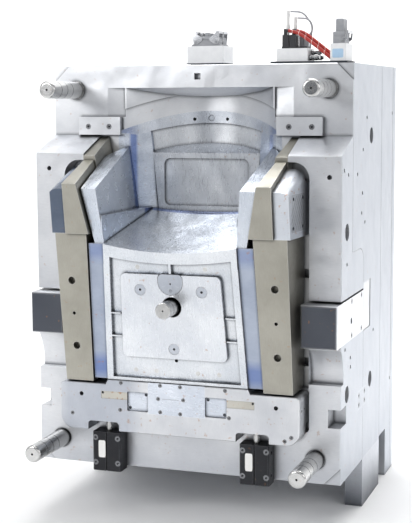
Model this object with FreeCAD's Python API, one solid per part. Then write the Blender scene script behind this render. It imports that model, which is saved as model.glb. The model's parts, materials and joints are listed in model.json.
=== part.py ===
import FreeCAD, Part
import math
import os

# Moving half of an injection mould for an armchair: stepped plates, a chair-shaped core,
# two side slides, a hydraulic bottom slide, four guide pillars and an ejector box.
#
# Sizes are in millimetres. The mould is drawn in its own frame: X across, Y back from the
# parting face of the front plate, Z up from the underside of the plates. export() moves
# every piece so that the floor is Z = 0 and the bounding box is centred on X = Y = 0.

V = FreeCAD.Vector

# ---- Plates -------------------------------------------------------------------------
PLATE_W = 1100.0          # width of every plate
PLATE_H = 1400.0          # height of the plates above their underside
FRONT_T = 341.0           # front plate, parting face to its back
SUPPORT_T = 289.0         # support plate behind the front plate
RAIL_T = 212.0            # spacer rails, the depth of the ejector box
CLAMP_T = 52.0            # clamp plate at the back
RAIL_W = 108.0            # width of each spacer rail
TOP_FACE_Y = 160.0        # the support plate's own parting face, above the front plate
LEDGE_R = 65.0            # round on that step
SHOULDER_Z = PLATE_H - 305.0    # front top edge of the front plate's side blocks
TOP_SLOPE = 21.2          # degrees, slope of the side blocks' tops
FOOT_H = 175.0            # feet, from the floor to the plates' underside
FOOT_W = 62.0
LEFT_FOOT_Y = 466.0       # the left foot starts farther back than the right one
EDGE = 2.0                # bevel on the plates' outer edges
ARM_LOW_Z = SHOULDER_Z - 262.0  # underside of the arms
SEAT_FRONT_Z = ARM_LOW_Z - 33.0 # seat height at the front corners
LEDGE_Z = SEAT_FRONT_Z - 35.0   # where the front plate steps from full to part thickness
RAIL_NOTCH_T = 118.0      # depth of the open notch at each rail's foot
RAIL_NOTCH_Z = 10.0       # top of that notch
GAP = 0.3                 # running gap between flat faces that slide
RUN_FIT = 0.05            # radial clearance of a shaft that runs in a hole

# ---- Guide pillars ------------------------------------------------------------------
PILLAR_X = PLATE_W / 2 - 85.0
PILLAR_TOP_Z = PLATE_H - 85.0
PILLAR_LOW_Z = 82.0
PILLAR_D = 60.0
PILLAR_OUT = 240.0        # stand-out in front of the face that carries the pillar
PILLAR_SEAT = 150.0       # length held in the plate
PILLAR_NOSE = 9.0
COLLAR_D = 67.0
COLLAR_T = 7.0
RELIEF_D = 71.0           # relief round the lower pillars
RELIEF_T = 8.0

# ---- Slide beds and pockets of the front plate --------------------------------------
BED_X = PLATE_W / 2 - 109.0     # half width between the walls that the side slides run to
BED_Y = 60.0              # depth of the side slides' bed
BED_LOW_Z = 312.0
BED_TOP_Z = SHOULDER_Z - 21.0
BED_R = 55.0
THROAT_X = BED_X - 73.0   # half width of the open top between the side blocks
CORE_POCKET_X = BED_X - 135.0   # half width of the through pocket that holds the core
INTERLOCK_X = BED_X - 14.0      # inner face of the interlocks
INTERLOCK_Z = 468.0
INTERLOCK_H = 143.0
INTERLOCK_OUT = 60.0
INTERLOCK_LEN = 335.0     # seated length behind the parting face
INTERLOCK_GAP = 7.0
NOTCH_W = 43.0            # open notch in each side edge
NOTCH_Z = 193.0
NOTCH_H = 63.0
NOTCH_DEEP = 80.0
DISH_Z = 336.0            # shallow dish under each interlock
DISH_H = 118.0
DISH_DEEP = 36.0
CORNER_LEG = 58.0         # pry recess across a plate corner
CORNER_DEEP = 5.0
BLOCK_HOLES = ((508.0, 1026.0), (-500.0, 1043.0))
BLOCK_HOLE_D = 16.0
BLOCK_HOLE_DEEP = 40.0

# ---- Moulding face ------------------------------------------------------------------
FACE_Z = 312.0            # the tilted core front passes through FACE_Y at FACE_Z
FACE_Y = -75.0
FACE_TILT = 8.14          # degrees from vertical, leaning forward as it rises
SEAT_SAG = 25.0           # dip at the middle of the front edge
SEAT_BACK_Z = SEAT_FRONT_Z + 93.0
SEAT_BACK_SAG = 10.0
SEAT_FRONT_HALF = BED_X - 206.0
SEAT_BACK_HALF = SEAT_FRONT_HALF - 36.0
SEAT_BACK_Y = 237.0
CORE_LOW_HALF = SEAT_FRONT_HALF + 18.0    # half width of the core at the foot of its front
CORE_START_Y = -170.0     # the core's blocks start in front of its tilted face
CORE_FOOT_Z = 325.0       # underside of the core's front, above the bottom slide
CORE_BLOCK_Z = SEAT_FRONT_Z - 70.0    # top of the core's straight part
RECESS_DEEP = 14.0        # recessed frame round the front panel
PANEL_LOW_Z = 412.0
PANEL_TOP_Z = SEAT_FRONT_Z - 98.0
PANEL_LOW_HALF = CORE_LOW_HALF - 66.0
PANEL_TOP_HALF = SEAT_FRONT_HALF - 59.0
PANEL_R = 18.0
RIB_T = 4.0
RIB_HEIGHTS = (560.0, 480.0)
PANEL_PROUD = 2.5
PLUG_D = 38.0
PLUG_X = PANEL_TOP_HALF - 67.0
PLUG_Z = PANEL_TOP_Z - 54.0
PLUG_LOW_Z = 446.0
D_HALF = 43.0             # half width of the D insert
D_TOP_Z = PANEL_TOP_Z + 2.0
D_H = 70.0
D_T = 30.0
D_SCREW_Z = D_TOP_Z - 32.0
D_GAP = 1.5               # open joint round the D insert
PLUG_GAP = 0.8            # and round each plug
CENTER_PIN_D = 54.0
CENTER_PIN_Z = PANEL_TOP_Z - 110.0
CENTER_PIN_OUT = 84.0     # stand-out in front of the panel
CENTER_HOLE_D = 70.0
STRIP_GAP = 3.0           # between the core strips and the side slides
STRIP_SET = 8.0           # the strips' front lies behind the core front

# ---- Back of the chair --------------------------------------------------------------
BACK_R = BED_X - 91.0     # upright concave wall that the chair's back is shaped on
BACK_Y = 300.0            # its deepest point
BACK_STEP = 16.0          # the upper panel lies this far behind the arch
WALL_STEP = 7.0           # the plate's own wall stands proud above its crease
POCKET_Y = 430.0          # floor of the insert pocket
CEILING_Z = PLATE_H - 78.0
CEILING_SLOPE = 13.0      # degrees, falling to the back
CEILING_X = BACK_R - 7.0
ARCH_END_X = CORE_POCKET_X - 3.0
ARCH_END_Z = SHOULDER_Z + 70.0
ARCH_RISE = 75.0
ARCH_IN_X = ARCH_END_X - 56.0
ARCH_IN_Z = ARCH_END_Z - 8.0
ARCH_IN_RISE = 40.0
CREASE_UP = 66.0          # crease in the plate's wall, above the arch
KEY_HOLE = (-15.0, 8.0, 18.0, 22.0)   # square hole over the ceiling: left, right, depth, height
KEY_HOLE_UP = 27.0
BACK_FOOT_Z = SEAT_BACK_Z - 13.0
BACK_TOP_HALF = SEAT_BACK_HALF + 8.0
BACK_LOW_HALF = SEAT_BACK_HALF - 19.0
SHELF_Z = SHOULDER_Z - 4.0      # top of the flat lower panel
SHELF_RUN = 34.0          # height of the slope above it
FRAME_HALF = BACK_LOW_HALF - 21.0     # framed field in the lower panel
FRAME_LOW_Z = BACK_FOOT_Z + 22.0
FRAME_TOP_Z = SHELF_Z - 19.0
FRAME_DEEP = 8.0
FRAME_R = 22.0

# ---- Arms ---------------------------------------------------------------------------
ARM_TOP_Z = SHOULDER_Z - 92.0   # front top edge of the tan wedge
ARM_LEAN = 0.2            # inner face of the wedge, sideways run per unit of height
WEDGE_IN_X = THROAT_X - 88.0    # inner face of the wedge at its foot
WEDGE_OUT_X = THROAT_X - 4.0
WEDGE_PROUD = 12.0        # the wedge's front stands proud of the core front
CHEEK_OUT_X = BED_X - 14.0      # outer face of the cheek behind the parting face
CHEEK_NOSE_X = CHEEK_OUT_X - 10.0     # and at its front
CHEEK_TOP_Z = SHOULDER_Z - 109.0
CHEEK_R = 40.0
ARM_GAP = 6.0             # between arm core and wedge
ARM_CORE_IN_X = SEAT_FRONT_HALF - 1.0
ARM_CORE_LEAN = 0.1
ARM_CORE_LOW_Z = SEAT_FRONT_Z
ARM_CORE_TOP_Z = CHEEK_TOP_Z
ARM_CORE_SET = 10.0       # the arm core's front lies behind the core front
ARM_TOE_Z = SEAT_BACK_Z + 2.0

# ---- Side slides --------------------------------------------------------------------
RAIL_IN_TOP_X = BED_X - 148.0
RAIL_IN_LOW_X = BED_X - 134.0
RAIL_OUT_X = BED_X - 33.0
RAIL_HOLES_Z = (ARM_LOW_Z - 164.0, ARM_LOW_Z - 395.0)
RAIL_HOLE_X = RAIL_OUT_X - 48.0
RAIL_HOLE_D = 26.0
KEY_X0 = RAIL_OUT_X - 86.0
KEY_L = 78.0
KEY_NECK = 30.0
KEY_HEAD = 56.0
KEY_NECK_T = 26.0
KEY_HEAD_T = 22.0
KEY_Z = (BED_LOW_Z + 88.0, ARM_LOW_Z - 133.0)
WEAR_T = 6.0
WEAR_Y = -144.0
WEAR_L = 132.0
WEAR_Z = ARM_LOW_Z + 21.0
WEAR_H = 122.0

# ---- Bottom slide -------------------------------------------------------------------
SLIDE_HALF = BED_X - 10.0
SLIDE_LOW_Z = 142.0
SLIDE_END_Z = 306.0       # top of the slide's ends
SLIDE_MID_HALF = CORE_LOW_HALF
SLIDE_TOP_Z = 322.0       # top of its raised middle
SLIDE_FRONT_Y = -80.0
SLIDE_STEP_Z = 204.0      # above this the slide reaches back into its bed
SLIDE_BED_Y = 40.0
SLIDE_R = 46.0
SLIDE_BED_R = 14.0        # lower corners of the slide's bed
SLIDE_EDGE = 2.5          # bevel round the slide's front
SLIDE_STROKE = 30.0
SLIDE_WALL = 12.0         # clearance between the slide's ends and its bed
SLIDE_NOTCH_HALF = 58.0
SLIDE_NOTCH_Z = 174.0
WINDOW_X = 103.0
WINDOW_W = 77.0
WINDOW_Z = 218.0
WINDOW_H = 68.0
WINDOW_DEEP = 22.0
BAR_L = 97.0
BAR_Z = 255.0
BAR_H = 27.0
BAR_DEEP = 10.0
MID_PLATE_T = 12.0
MID_PLATE_Z = 213.0
SLIDE_SCREW_D = 12.0
SLIDE_SCREWS = ((-202.0, 314.0), (-206.0, 219.0), (-58.0, 314.0), (-65.5, 268.0), (-58.0, 222.0),
                (14.3, 314.0), (25.3, 270.0), (14.6, 221.0), (174.6, 313.0), (188.0, 221.0),
                (SLIDE_HALF - 27.0, 172.0), (SLIDE_HALF - 50.0, 158.0), (45.0 - SLIDE_HALF, 196.0))
SLIDE_KEY_X = 70.0

# ---- Hydraulic cylinders ------------------------------------------------------------
CYL_X = 269.0
CYL_W = 104.0
CYL_T = 58.0
CYL_LOW_Z = -8.0
CYL_H = 138.0
CYL_GROOVE = 6.0
ROD_D = 22.0
ROD_IN = 75.0             # length of rod inside the cylinder at rest
ROD_SEAT = 20.0           # length of rod screwed into the slide
CYL_BORE = 110.0          # depth of the bore
CYL_SCREW_L = 88.0
CYL_SCREW_X = 41.5        # from the middle of the cylinder
CYL_SCREW_Z = (21.0, 109.0)

# ---- Ejector box --------------------------------------------------------------------
EJECT_HALF = PLATE_W / 2 - RAIL_W - 18.0
EJECT_LOW_Z = 60.0
EJECT_H = PLATE_H - 140.0
EJECT_T = 40.0
RETAINER_T = 35.0
BUTTON_T = 10.0
BUTTON_D = 60.0
BUTTON_X = 200.0
BUTTON_Z = (300.0, PLATE_H - 320.0)
GUIDE_D = 40.0
GUIDE_X = EJECT_HALF - 54.0
GUIDE_Z = (180.0, PLATE_H - 200.0)
EJECT_PIN_D = 16.0
EJECT_PINS = ((-150.0, 362.0), (150.0, 362.0), (-75.0, 362.0), (75.0, 362.0),
              (-120.0, CORE_BLOCK_Z - 6.0), (120.0, CORE_BLOCK_Z - 6.0))
PIN_CLEAR = 3.0
BUSH_OD = 84.0
BUSH_L = 60.0
KNOCK_OUT_D = 60.0
KNOCK_OUT_Z = 300.0
RING_D = 160.0
RING_DEEP = 6.0

# ---- Lifting threads (Y, Z, depth) and ports (Y, Z) in the sides ---------------------
LIFT_D = 58.0
LIFT_DEEP = 90.0
LIFT_LOW_DEEP = 84.0
LIFT_FRONT = ((78.0, 840.0, LIFT_DEEP), (90.0, 290.0, LIFT_LOW_DEEP))
LIFT_SUPPORT = ((450.0, 1150.0, LIFT_DEEP), (458.0, 268.0, LIFT_LOW_DEEP))
PORT_D = 14.0
PORT_DEEP = 30.0
PORTS_FRONT = ((31.0, 1047.0), (91.0, 1030.0), (79.0, 732.0), (137.0, 407.0), (140.0, 375.0),
               (59.0, 448.0))
PORTS_SUPPORT = ((373.0, 1215.0), (314.0, 1105.0), (230.0, 1024.0), (306.0, 955.0), (299.0, 886.0),
                 (352.0, 850.0), (509.0, 440.0))
TOP_LIFT_X = 250.0
TOP_LIFT_Y = 395.0

# ---- Keeper plates, straps and screws -----------------------------------------------
KEEPER_X = BED_X - 153.0
KEEPER_W = 160.0
KEEPER_Z = SHOULDER_Z + 62.0
KEEPER_H = 63.0
KEEPER_T = 20.0
KEEPER_SCREWS_X = (KEEPER_X + 43.0, KEEPER_X + 123.0)
STRAP_Y = 262.0
STRAP_L = 120.0
STRAP_Z = 195.0
STRAP_H = 65.0
STRAP_T = 8.0
HEAD_D = 18.0
HEAD_T = 12.0
SHANK_D = 12.0
SHANK_L = 30.0
HEAD_CLEAR = 1.0          # radial gap round a screw's head

# ---- Services on the top edge -------------------------------------------------------
BOX_X = -76.0
BOX_W = 136.0
BOX_Y = 255.0
BOX_L = 112.0
BOX_H = 60.0
BOX_FEET = 8.0
HOOD_W = 106.0
HOOD_L = 40.0
HOOD_H = 33.0
HOOD_PITCH = 52.0
LEVER_PIVOT = 38.0        # from the hood's middle to each lever's pivot
LEVER_T = 3.0
LEVER_PIN_D = 7.0
STUD_L = 5.0
TRAY_X = PLATE_W / 2 - 298.0
TRAY_W = 270.0
TRAY_Y = 190.0
TRAY_L = 110.0
TRAY_T = 6.0
MANIFOLD_X = TRAY_X + 20.0
MANIFOLD_W = 110.0
MANIFOLD_H = 44.0
MANIFOLD_L = 90.0
VALVE_X = MANIFOLD_X + 19.0
VALVE_W = 22.0
VALVE_L = 40.0
VALVE_H = 46.0
VALVE_PITCH = 26.0
GREY_VALVE_SET = 28.0     # the grey valves lie this far behind the black ones' front
GREY_VALVE_W = 15.0
GREY_VALVE_L = 16.0
ELBOW_PITCH = 13.0
FITTING_SET = 33.5        # from the valves' front to the white fittings
FITTING_HEIGHTS = (84.0, 62.0)
PORT_DROP = 4.0           # a fitting's side port lies this far below its top
SMALL_BOX_X = TRAY_X + 208.0
SMALL_BOX_W = 55.0
SMALL_BOX_L = 100.0
SMALL_BOX_H = 58.0
HOSE_D = 12.0
TUBE_D = 6.0

HALF_W = PLATE_W / 2
SUPPORT_Y = FRONT_T + SUPPORT_T
RAIL_Y = SUPPORT_Y + RAIL_T
BACK = RAIL_Y + CLAMP_T
ORIGIN_Y = (BACK - PILLAR_OUT) / 2
FACE_RUN = math.tan(math.radians(FACE_TILT))
TOP_RUN = math.tan(math.radians(TOP_SLOPE))
FAR = 2000.0              # longer than the mould, for tools that cut right through


# ---- Shape helpers ------------------------------------------------------------------

def box(x0, x1, y0, y1, z0, z1):
    return Part.makeBox(x1 - x0, y1 - y0, z1 - z0, V(x0, y0, z0))


def cyl_x(y, z, d, x0, x1):
    return Part.makeCylinder(d / 2, x1 - x0, V(x0, y, z), V(1, 0, 0))


def cyl_y(x, z, d, y0, y1):
    return Part.makeCylinder(d / 2, y1 - y0, V(x, y0, z), V(0, 1, 0))


def cyl_z(x, y, d, z0, z1):
    return Part.makeCylinder(d / 2, z1 - z0, V(x, y, z0), V(0, 0, 1))


def prism(points, direction):
    """A closed outline pulled along a direction; a point may be given as an arc's middle."""
    edges = []
    index = 0
    closed = points + points[:1]
    while index < len(closed) - 1:
        if len(closed[index + 1]) == 4:
            edges.append(Part.Arc(V(*closed[index][:3]), V(*closed[index + 1][:3]),
                                  V(*closed[index + 2][:3])).toShape())
            index += 2
        else:
            edges.append(Part.makeLine(V(*closed[index][:3]), V(*closed[index + 1][:3])))
            index += 1
    return Part.Face(Part.Wire(edges)).extrude(V(*direction))


def front_outline(points, y0, y1):
    """Outline in X and Z, pulled from y0 to y1. A third value marks an arc's middle."""
    return prism([(p[0], y0, p[1]) + tuple(p[2:]) for p in points], (0, y1 - y0, 0))


def side_outline(points, x0, x1):
    """Outline in Y and Z, pulled from x0 to x1."""
    return prism([(x0, p[0], p[1]) + tuple(p[2:]) for p in points], (x1 - x0, 0, 0))


def plan_outline(points, z0, z1):
    """Outline in X and Y, pulled from z0 to z1."""
    return prism([(p[0], p[1], z0) + tuple(p[2:]) for p in points], (0, 0, z1 - z0))


def mirrored(shape):
    return shape.mirror(V(0, 0, 0), V(1, 0, 0))


def both(shape):
    """The piece and its mirror image on the other side of the mould."""
    return [shape, mirrored(shape)]


def cut_all(shape, tools):
    return shape.cut(Part.makeCompound(tools))


def fillet_near(shape, radius, test):
    """Rounds the edges whose middle passes the test."""
    edges = [edge for edge in shape.Edges if test(edge.CenterOfMass, edge)]
    return shape.makeFillet(radius, edges)


def bevel_near(shape, size, test):
    """Bevels the edges whose middle passes the test."""
    return shape.makeChamfer(size, [edge for edge in shape.Edges if test(edge.CenterOfMass, edge)])


def is_side_edge(mid, edge):
    """Upright outer edge of a plate."""
    return is_along(edge, 2) and abs(mid.x) > HALF_W - 1


def is_along(edge, axis):
    first, last = edge.Vertexes[0].Point, edge.Vertexes[-1].Point
    run = last - first
    return abs(abs(run[axis]) - run.Length) < 1e-6 and run.Length > 1e-6


def rounded_front_box(x0, x1, y0, y1, z0, z1, radius):
    """A box whose four edges along Y are rounded."""
    block = box(x0, x1, y0, y1, z0, z1)
    return fillet_near(block, radius, lambda mid, edge: is_along(edge, 1))


def face_y(z, behind=0.0):
    """The tilted core front at height z, or a plane a given distance behind it."""
    return FACE_Y - FACE_RUN * (z - FACE_Z) + behind


def before_face(behind=0.0):
    """Everything in front of the tilted core front."""
    low, high = -400.0, FAR
    return side_outline([(-FAR, low), (face_y(low, behind), low), (face_y(high, behind), high),
                         (-FAR, high)], -FAR, FAR)


def above_slope(z, y=0.0, run=TOP_RUN):
    """Everything above a plane that rises to the back and passes through (y, z)."""
    return side_outline([(-FAR, z - run * (FAR + y)), (FAR, z + run * (FAR - y)), (FAR, 3 * FAR),
                         (-FAR, 3 * FAR)], -FAR, FAR)


def back_wall(radius, z0, z1):
    """The space in front of the concave upright wall of the chair's back."""
    return Part.makeCylinder(radius, z1 - z0, V(0, BACK_Y - BACK_R, z0), V(0, 0, 1))


def arch_height(x, half, foot, rise):
    """Height of a circular arch with the given half span, foot and rise."""
    radius = (half * half + rise * rise) / (2 * rise)
    return foot + rise - radius + math.sqrt(radius * radius - x * x)


def under_arch(half, foot, rise, floor, y0, y1, edge=None):
    """A front outline with a level floor and a circular arch for its top."""
    reach = half if edge is None else edge
    height = arch_height(reach, half, foot, rise)
    return front_outline([(-reach, floor), (reach, floor), (reach, height), (0, foot + rise, True),
                          (-reach, height)], y0, y1)


def cap_screw(at, axis, head_d=HEAD_D, head_t=HEAD_T, shank_d=SHANK_D, shank_l=SHANK_L):
    """Socket head cap screw with its head's face at a point, its shank along axis."""
    axis = V(*axis)
    head = Part.makeCylinder(head_d / 2, head_t, at, axis)
    shank = Part.makeCylinder(shank_d / 2, shank_l, at + axis * head_t, axis)
    socket = Part.makeCylinder(head_d / 4, head_t * 0.55, at, axis)
    return head.fuse(shank).cut(socket)


def screw_space(at, axis, head_d=HEAD_D, head_t=HEAD_T, shank_d=SHANK_D, shank_l=SHANK_L):
    """The counterbored hole that holds a cap screw flush."""
    axis = V(*axis)
    head = Part.makeCylinder(head_d / 2 + HEAD_CLEAR, head_t, at, axis)
    return head.fuse(Part.makeCylinder(shank_d / 2, shank_l, at + axis * head_t, axis))


def hose(points, diameter):
    """A hose along straight runs joined by tangent arcs as large as the runs allow."""
    corners = [V(*p) for p in points]
    edges, start, radii = [], corners[0], []
    for before, corner, after in zip(corners, corners[1:], corners[2:]):
        back, ahead = before - corner, after - corner
        shorter = min(back.Length, ahead.Length)
        back.normalize()
        ahead.normalize()
        half_turn = (math.pi - back.getAngle(ahead)) / 2
        reach = 0.45 * shorter
        radii.append(reach / math.tan(half_turn))
        first, last = corner + back * reach, corner + ahead * reach
        inward = back + ahead
        inward.normalize()
        middle = corner + inward * (radii[-1] / math.cos(half_turn) - radii[-1])
        edges.append(Part.LineSegment(start, first).toShape())
        edges.append(Part.Arc(first, middle, last).toShape())
        start = last
    edges.append(Part.LineSegment(start, corners[-1]).toShape())
    path = Part.Wire(edges)
    circle = Part.Circle(corners[0], corners[1] - corners[0], diameter / 2)
    tube = path.makePipeShell([Part.Wire(circle.toShape())], True, False)
    print("hose radii", [round(r) for r in radii], "length", round(path.Length),
          "volume ratio", round(tube.Volume / (math.pi * diameter ** 2 / 4 * path.Length), 4))
    return tube


# ---- Plates, rails and feet ---------------------------------------------------------

def front_plate_outside():
    """The stepped block of the front plate, before anything is cut from it."""
    top_z = SHOULDER_Z + TOP_RUN * TOP_FACE_Y
    block = side_outline([(0, 0), (FRONT_T, 0), (FRONT_T, LEDGE_Z), (TOP_FACE_Y, LEDGE_Z),
                          (TOP_FACE_Y, top_z), (0, SHOULDER_Z)], -HALF_W, HALF_W)
    return fillet_near(block, LEDGE_R, lambda mid, edge: is_along(edge, 0)
                       and mid.y > FRONT_T - 1 and mid.z > LEDGE_Z - 1)


def side_bed():
    """Bed of the side slides, with round upper corners."""
    bed = box(-BED_X, BED_X, -1, BED_Y, BED_LOW_Z, BED_TOP_Z)
    return fillet_near(bed, BED_R, lambda mid, edge: is_along(edge, 1) and mid.z > BED_TOP_Z - 1)


def bottom_bed():
    """Bed of the bottom slide, open upward, with round lower corners."""
    low = SLIDE_STEP_Z - SLIDE_STROKE - 2
    half = SLIDE_HALF + SLIDE_WALL
    bed = box(-half, half, -1, SLIDE_BED_Y, low, BED_LOW_Z + 1)
    return fillet_near(bed, SLIDE_BED_R, lambda mid, edge: is_along(edge, 1) and mid.z < low + 1)


def dish():
    """Shallow dish below the right interlock: level floor, curved back."""
    top = DISH_Z + DISH_H
    return side_outline([(-1, DISH_Z), (DISH_DEEP, DISH_Z),
                         (DISH_DEEP * 0.8, DISH_Z + DISH_H * 0.55, True), (0, top), (-1, top)],
                        BED_X + 0.01, HALF_W + 1)


def interlock_slot():
    return box(INTERLOCK_X, HALF_W + 1, -1, INTERLOCK_LEN, INTERLOCK_Z,
               INTERLOCK_Z + INTERLOCK_H + INTERLOCK_GAP)


def corner_recess(x, z, y):
    """Three-cornered pry recess in the face at depth y, at the corner (x, z)."""
    legs = CORNER_LEG
    inward_x = -legs if x > 0 else legs
    inward_z = -legs if z > PLATE_H / 2 else legs
    outline = [(x + 0.5 * (1 if x > 0 else -1), z), (x + inward_x, z), (x, z + inward_z)]
    return front_outline(outline, y - 1, y + CORNER_DEEP)


def pillar_seat(z, y, relief):
    tools = [cyl_y(PILLAR_X, z, PILLAR_D, y - 1, y + PILLAR_SEAT)]
    if relief:
        tools.append(cyl_y(PILLAR_X, z, RELIEF_D, y - 1, y + RELIEF_T))
    return tools[0].fuse(tools[1:]) if relief else tools[0]


def side_holes(lifts, ports):
    """Lifting threads and water ports that go into a plate from its right side."""
    holes = [cyl_x(y, z, LIFT_D, HALF_W - deep, HALF_W + 1) for y, z, deep in lifts]
    return holes + [cyl_x(y, z, PORT_D, HALF_W - PORT_DEEP, HALF_W + 1) for y, z in ports]


def key_slot(z):
    """T slot for a side slide's key, open toward the outer wall of the bed."""
    x0, x1 = KEY_X0 - 2, BED_X
    neck = box(x0, x1, BED_Y - 1, BED_Y + KEY_NECK_T + 1, z - KEY_NECK / 2 - GAP, z + KEY_NECK / 2 + GAP)
    head = box(x0, x1, BED_Y + KEY_NECK_T - GAP, BED_Y + KEY_NECK_T + KEY_HEAD_T,
               z - KEY_HEAD / 2 - GAP, z + KEY_HEAD / 2 + GAP)
    return neck.fuse(head)


def bottom_key(clearance, low, high):
    """Upright T of the bottom slide, or its slot when a clearance is given."""
    neck_y = SLIDE_BED_Y - GAP
    neck = box(SLIDE_KEY_X - KEY_NECK / 2 - clearance, SLIDE_KEY_X + KEY_NECK / 2 + clearance,
               neck_y - 1, neck_y + KEY_NECK_T + 1, low, high)
    head = box(SLIDE_KEY_X - KEY_HEAD / 2 - clearance, SLIDE_KEY_X + KEY_HEAD / 2 + clearance,
               neck_y + KEY_NECK_T - clearance, neck_y + KEY_NECK_T + KEY_HEAD_T + clearance, low, high)
    return neck.fuse(head)


def keeper_screw_spots():
    return [V(x, TOP_FACE_Y - KEEPER_T, KEEPER_Z + KEEPER_H * 0.46) for x in KEEPER_SCREWS_X]


def strap_screw_spots():
    inset = 16.0
    return [V(HALF_W, STRAP_Y + y, STRAP_Z + z) for y in (inset, STRAP_L - inset)
            for z in (inset, STRAP_H - inset)]


def front_plate():
    plate = bevel_near(front_plate_outside(), EDGE, lambda mid, edge: is_side_edge(mid, edge)
                       or (is_along(edge, 0) and mid.y < 1))
    throat = box(-THROAT_X, THROAT_X, -1, TOP_FACE_Y + 1, ARM_CORE_LOW_Z, FAR)
    core_pocket = box(-CORE_POCKET_X, CORE_POCKET_X, -1, FRONT_T + 1, BED_LOW_Z, FAR)
    tools = [throat, core_pocket, side_bed(), bottom_bed()]
    for piece in [dish(), interlock_slot(), pillar_seat(PILLAR_LOW_Z, 0, True), corner_recess(HALF_W, 0, 0),
                  box(HALF_W - NOTCH_W, HALF_W + 1, -1, NOTCH_DEEP, NOTCH_Z, NOTCH_Z + NOTCH_H),
                  bottom_key(GAP, SLIDE_STEP_Z - SLIDE_STROKE - 2, BED_LOW_Z + 1), strap_seat()]:
        tools += both(piece)
    tools += [cyl_y(x, z, BLOCK_HOLE_D, -1, BLOCK_HOLE_DEEP) for x, z in BLOCK_HOLES]
    for z in KEY_Z:
        tools += both(key_slot(z))
    for hole in side_holes(LIFT_FRONT, PORTS_FRONT):
        tools += both(hole)
    for spot in strap_screw_spots()[:2]:
        tools += both(screw_space(spot, (-1, 0, 0)))
    for spot in cylinder_screw_spots():
        tools += both(cyl_y(spot.x, spot.z, SHANK_D, -1, CYL_SCREW_L - CYL_T))
    return cut_all(plate, tools)


def strap_seat():
    return box(HALF_W - STRAP_T, HALF_W + 1, STRAP_Y, STRAP_Y + STRAP_L, STRAP_Z, STRAP_Z + STRAP_H)


def wall_space(radius, low):
    """Space in front of the concave wall, under the sloping ceiling."""
    space = back_wall(radius, low, FAR)
    space = space.common(box(-CEILING_X, CEILING_X, TOP_FACE_Y - 1, FAR, low, CEILING_Z))
    fall = math.tan(math.radians(CEILING_SLOPE))
    return space.cut(above_slope(CEILING_Z, TOP_FACE_Y, -fall))


def insert_pocket():
    """Pocket in the support plate for the arch and back inserts and the core."""
    upper = under_arch(ARCH_END_X, ARCH_END_Z, ARCH_RISE, BACK_FOOT_Z, TOP_FACE_Y - 1, POCKET_Y)
    lower = box(-CORE_POCKET_X, CORE_POCKET_X, TOP_FACE_Y - 1, FRONT_T, LEDGE_Z - LEDGE_R, BACK_FOOT_Z + 1)
    return [upper, lower]


def wall_shoulder():
    """Shallow bright face between the concave wall's edge and the pocket's corner."""
    edge = math.sqrt(BACK_R ** 2 - (TOP_FACE_Y - BACK_Y + BACK_R) ** 2)
    return plan_outline([(edge - 4, TOP_FACE_Y - 1), (CEILING_X, TOP_FACE_Y - 1),
                         (CEILING_X, TOP_FACE_Y), (edge - 4, TOP_FACE_Y + 9)],
                        KEEPER_Z + KEEPER_H, CEILING_Z)


def support_plate():
    plate = box(-HALF_W, HALF_W, TOP_FACE_Y, SUPPORT_Y, 0, PLATE_H)
    plate = bevel_near(plate, EDGE, lambda mid, edge: is_side_edge(mid, edge)
                       or (is_along(edge, 0) and mid.z > PLATE_H - 1)).cut(front_plate_outside())
    crease = under_arch(ARCH_END_X + 60, ARCH_END_Z + CREASE_UP - 30, ARCH_RISE + 30, BACK_FOOT_Z,
                        TOP_FACE_Y - 1, POCKET_Y)
    tools = insert_pocket() + [wall_space(BACK_R - WALL_STEP, LEDGE_Z + 100)]
    tools.append(wall_space(BACK_R, LEDGE_Z + 100).common(crease))
    left, right, deep, height = KEY_HOLE
    tools.append(box(left, right, TOP_FACE_Y - 1, TOP_FACE_Y + deep, CEILING_Z + KEY_HOLE_UP,
                     CEILING_Z + KEY_HOLE_UP + height))
    for piece in [wall_shoulder(), pillar_seat(PILLAR_TOP_Z, TOP_FACE_Y, False),
                  corner_recess(HALF_W, PLATE_H, TOP_FACE_Y), strap_seat(), interlock_end(),
                  cyl_z(TOP_LIFT_X, TOP_LIFT_Y, LIFT_D, PLATE_H - LIFT_DEEP, PLATE_H + 1)]:
        tools += both(piece)
    for hole in side_holes(LIFT_SUPPORT, PORTS_SUPPORT):
        tools += both(hole)
    for spot in strap_screw_spots()[2:]:
        tools += both(screw_space(spot, (-1, 0, 0)))
    for spot in keeper_screw_spots():
        tools += both(screw_space(spot, (0, 1, 0)))
    for x, z in EJECT_PINS:
        tools.append(cyl_y(x, z, EJECT_PIN_D + PIN_CLEAR, FRONT_T - 1, SUPPORT_Y + 1))
    tools.append(cyl_y(0, CENTER_PIN_Z, CENTER_PIN_D + PIN_CLEAR, FRONT_T - 1, SUPPORT_Y + 1))
    tools.append(cyl_y(0, CENTER_PIN_Z, BUSH_OD, SUPPORT_Y - BUSH_L, SUPPORT_Y + 1))
    return cut_all(plate, tools)


def interlock_end():
    """Ground patch in the support plate's side, behind each interlock."""
    return box(HALF_W - 2.0, HALF_W + 1, FRONT_T, FRONT_T + 112, INTERLOCK_Z - 4,
               INTERLOCK_Z + INTERLOCK_H + 26)


def feet():
    """Right and left foot under the support plate."""
    return [box(HALF_W - FOOT_W, HALF_W, FRONT_T, SUPPORT_Y, -FOOT_H, 0),
            box(-HALF_W, FOOT_W - HALF_W, LEFT_FOOT_Y, SUPPORT_Y, -FOOT_H, 0)]


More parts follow.
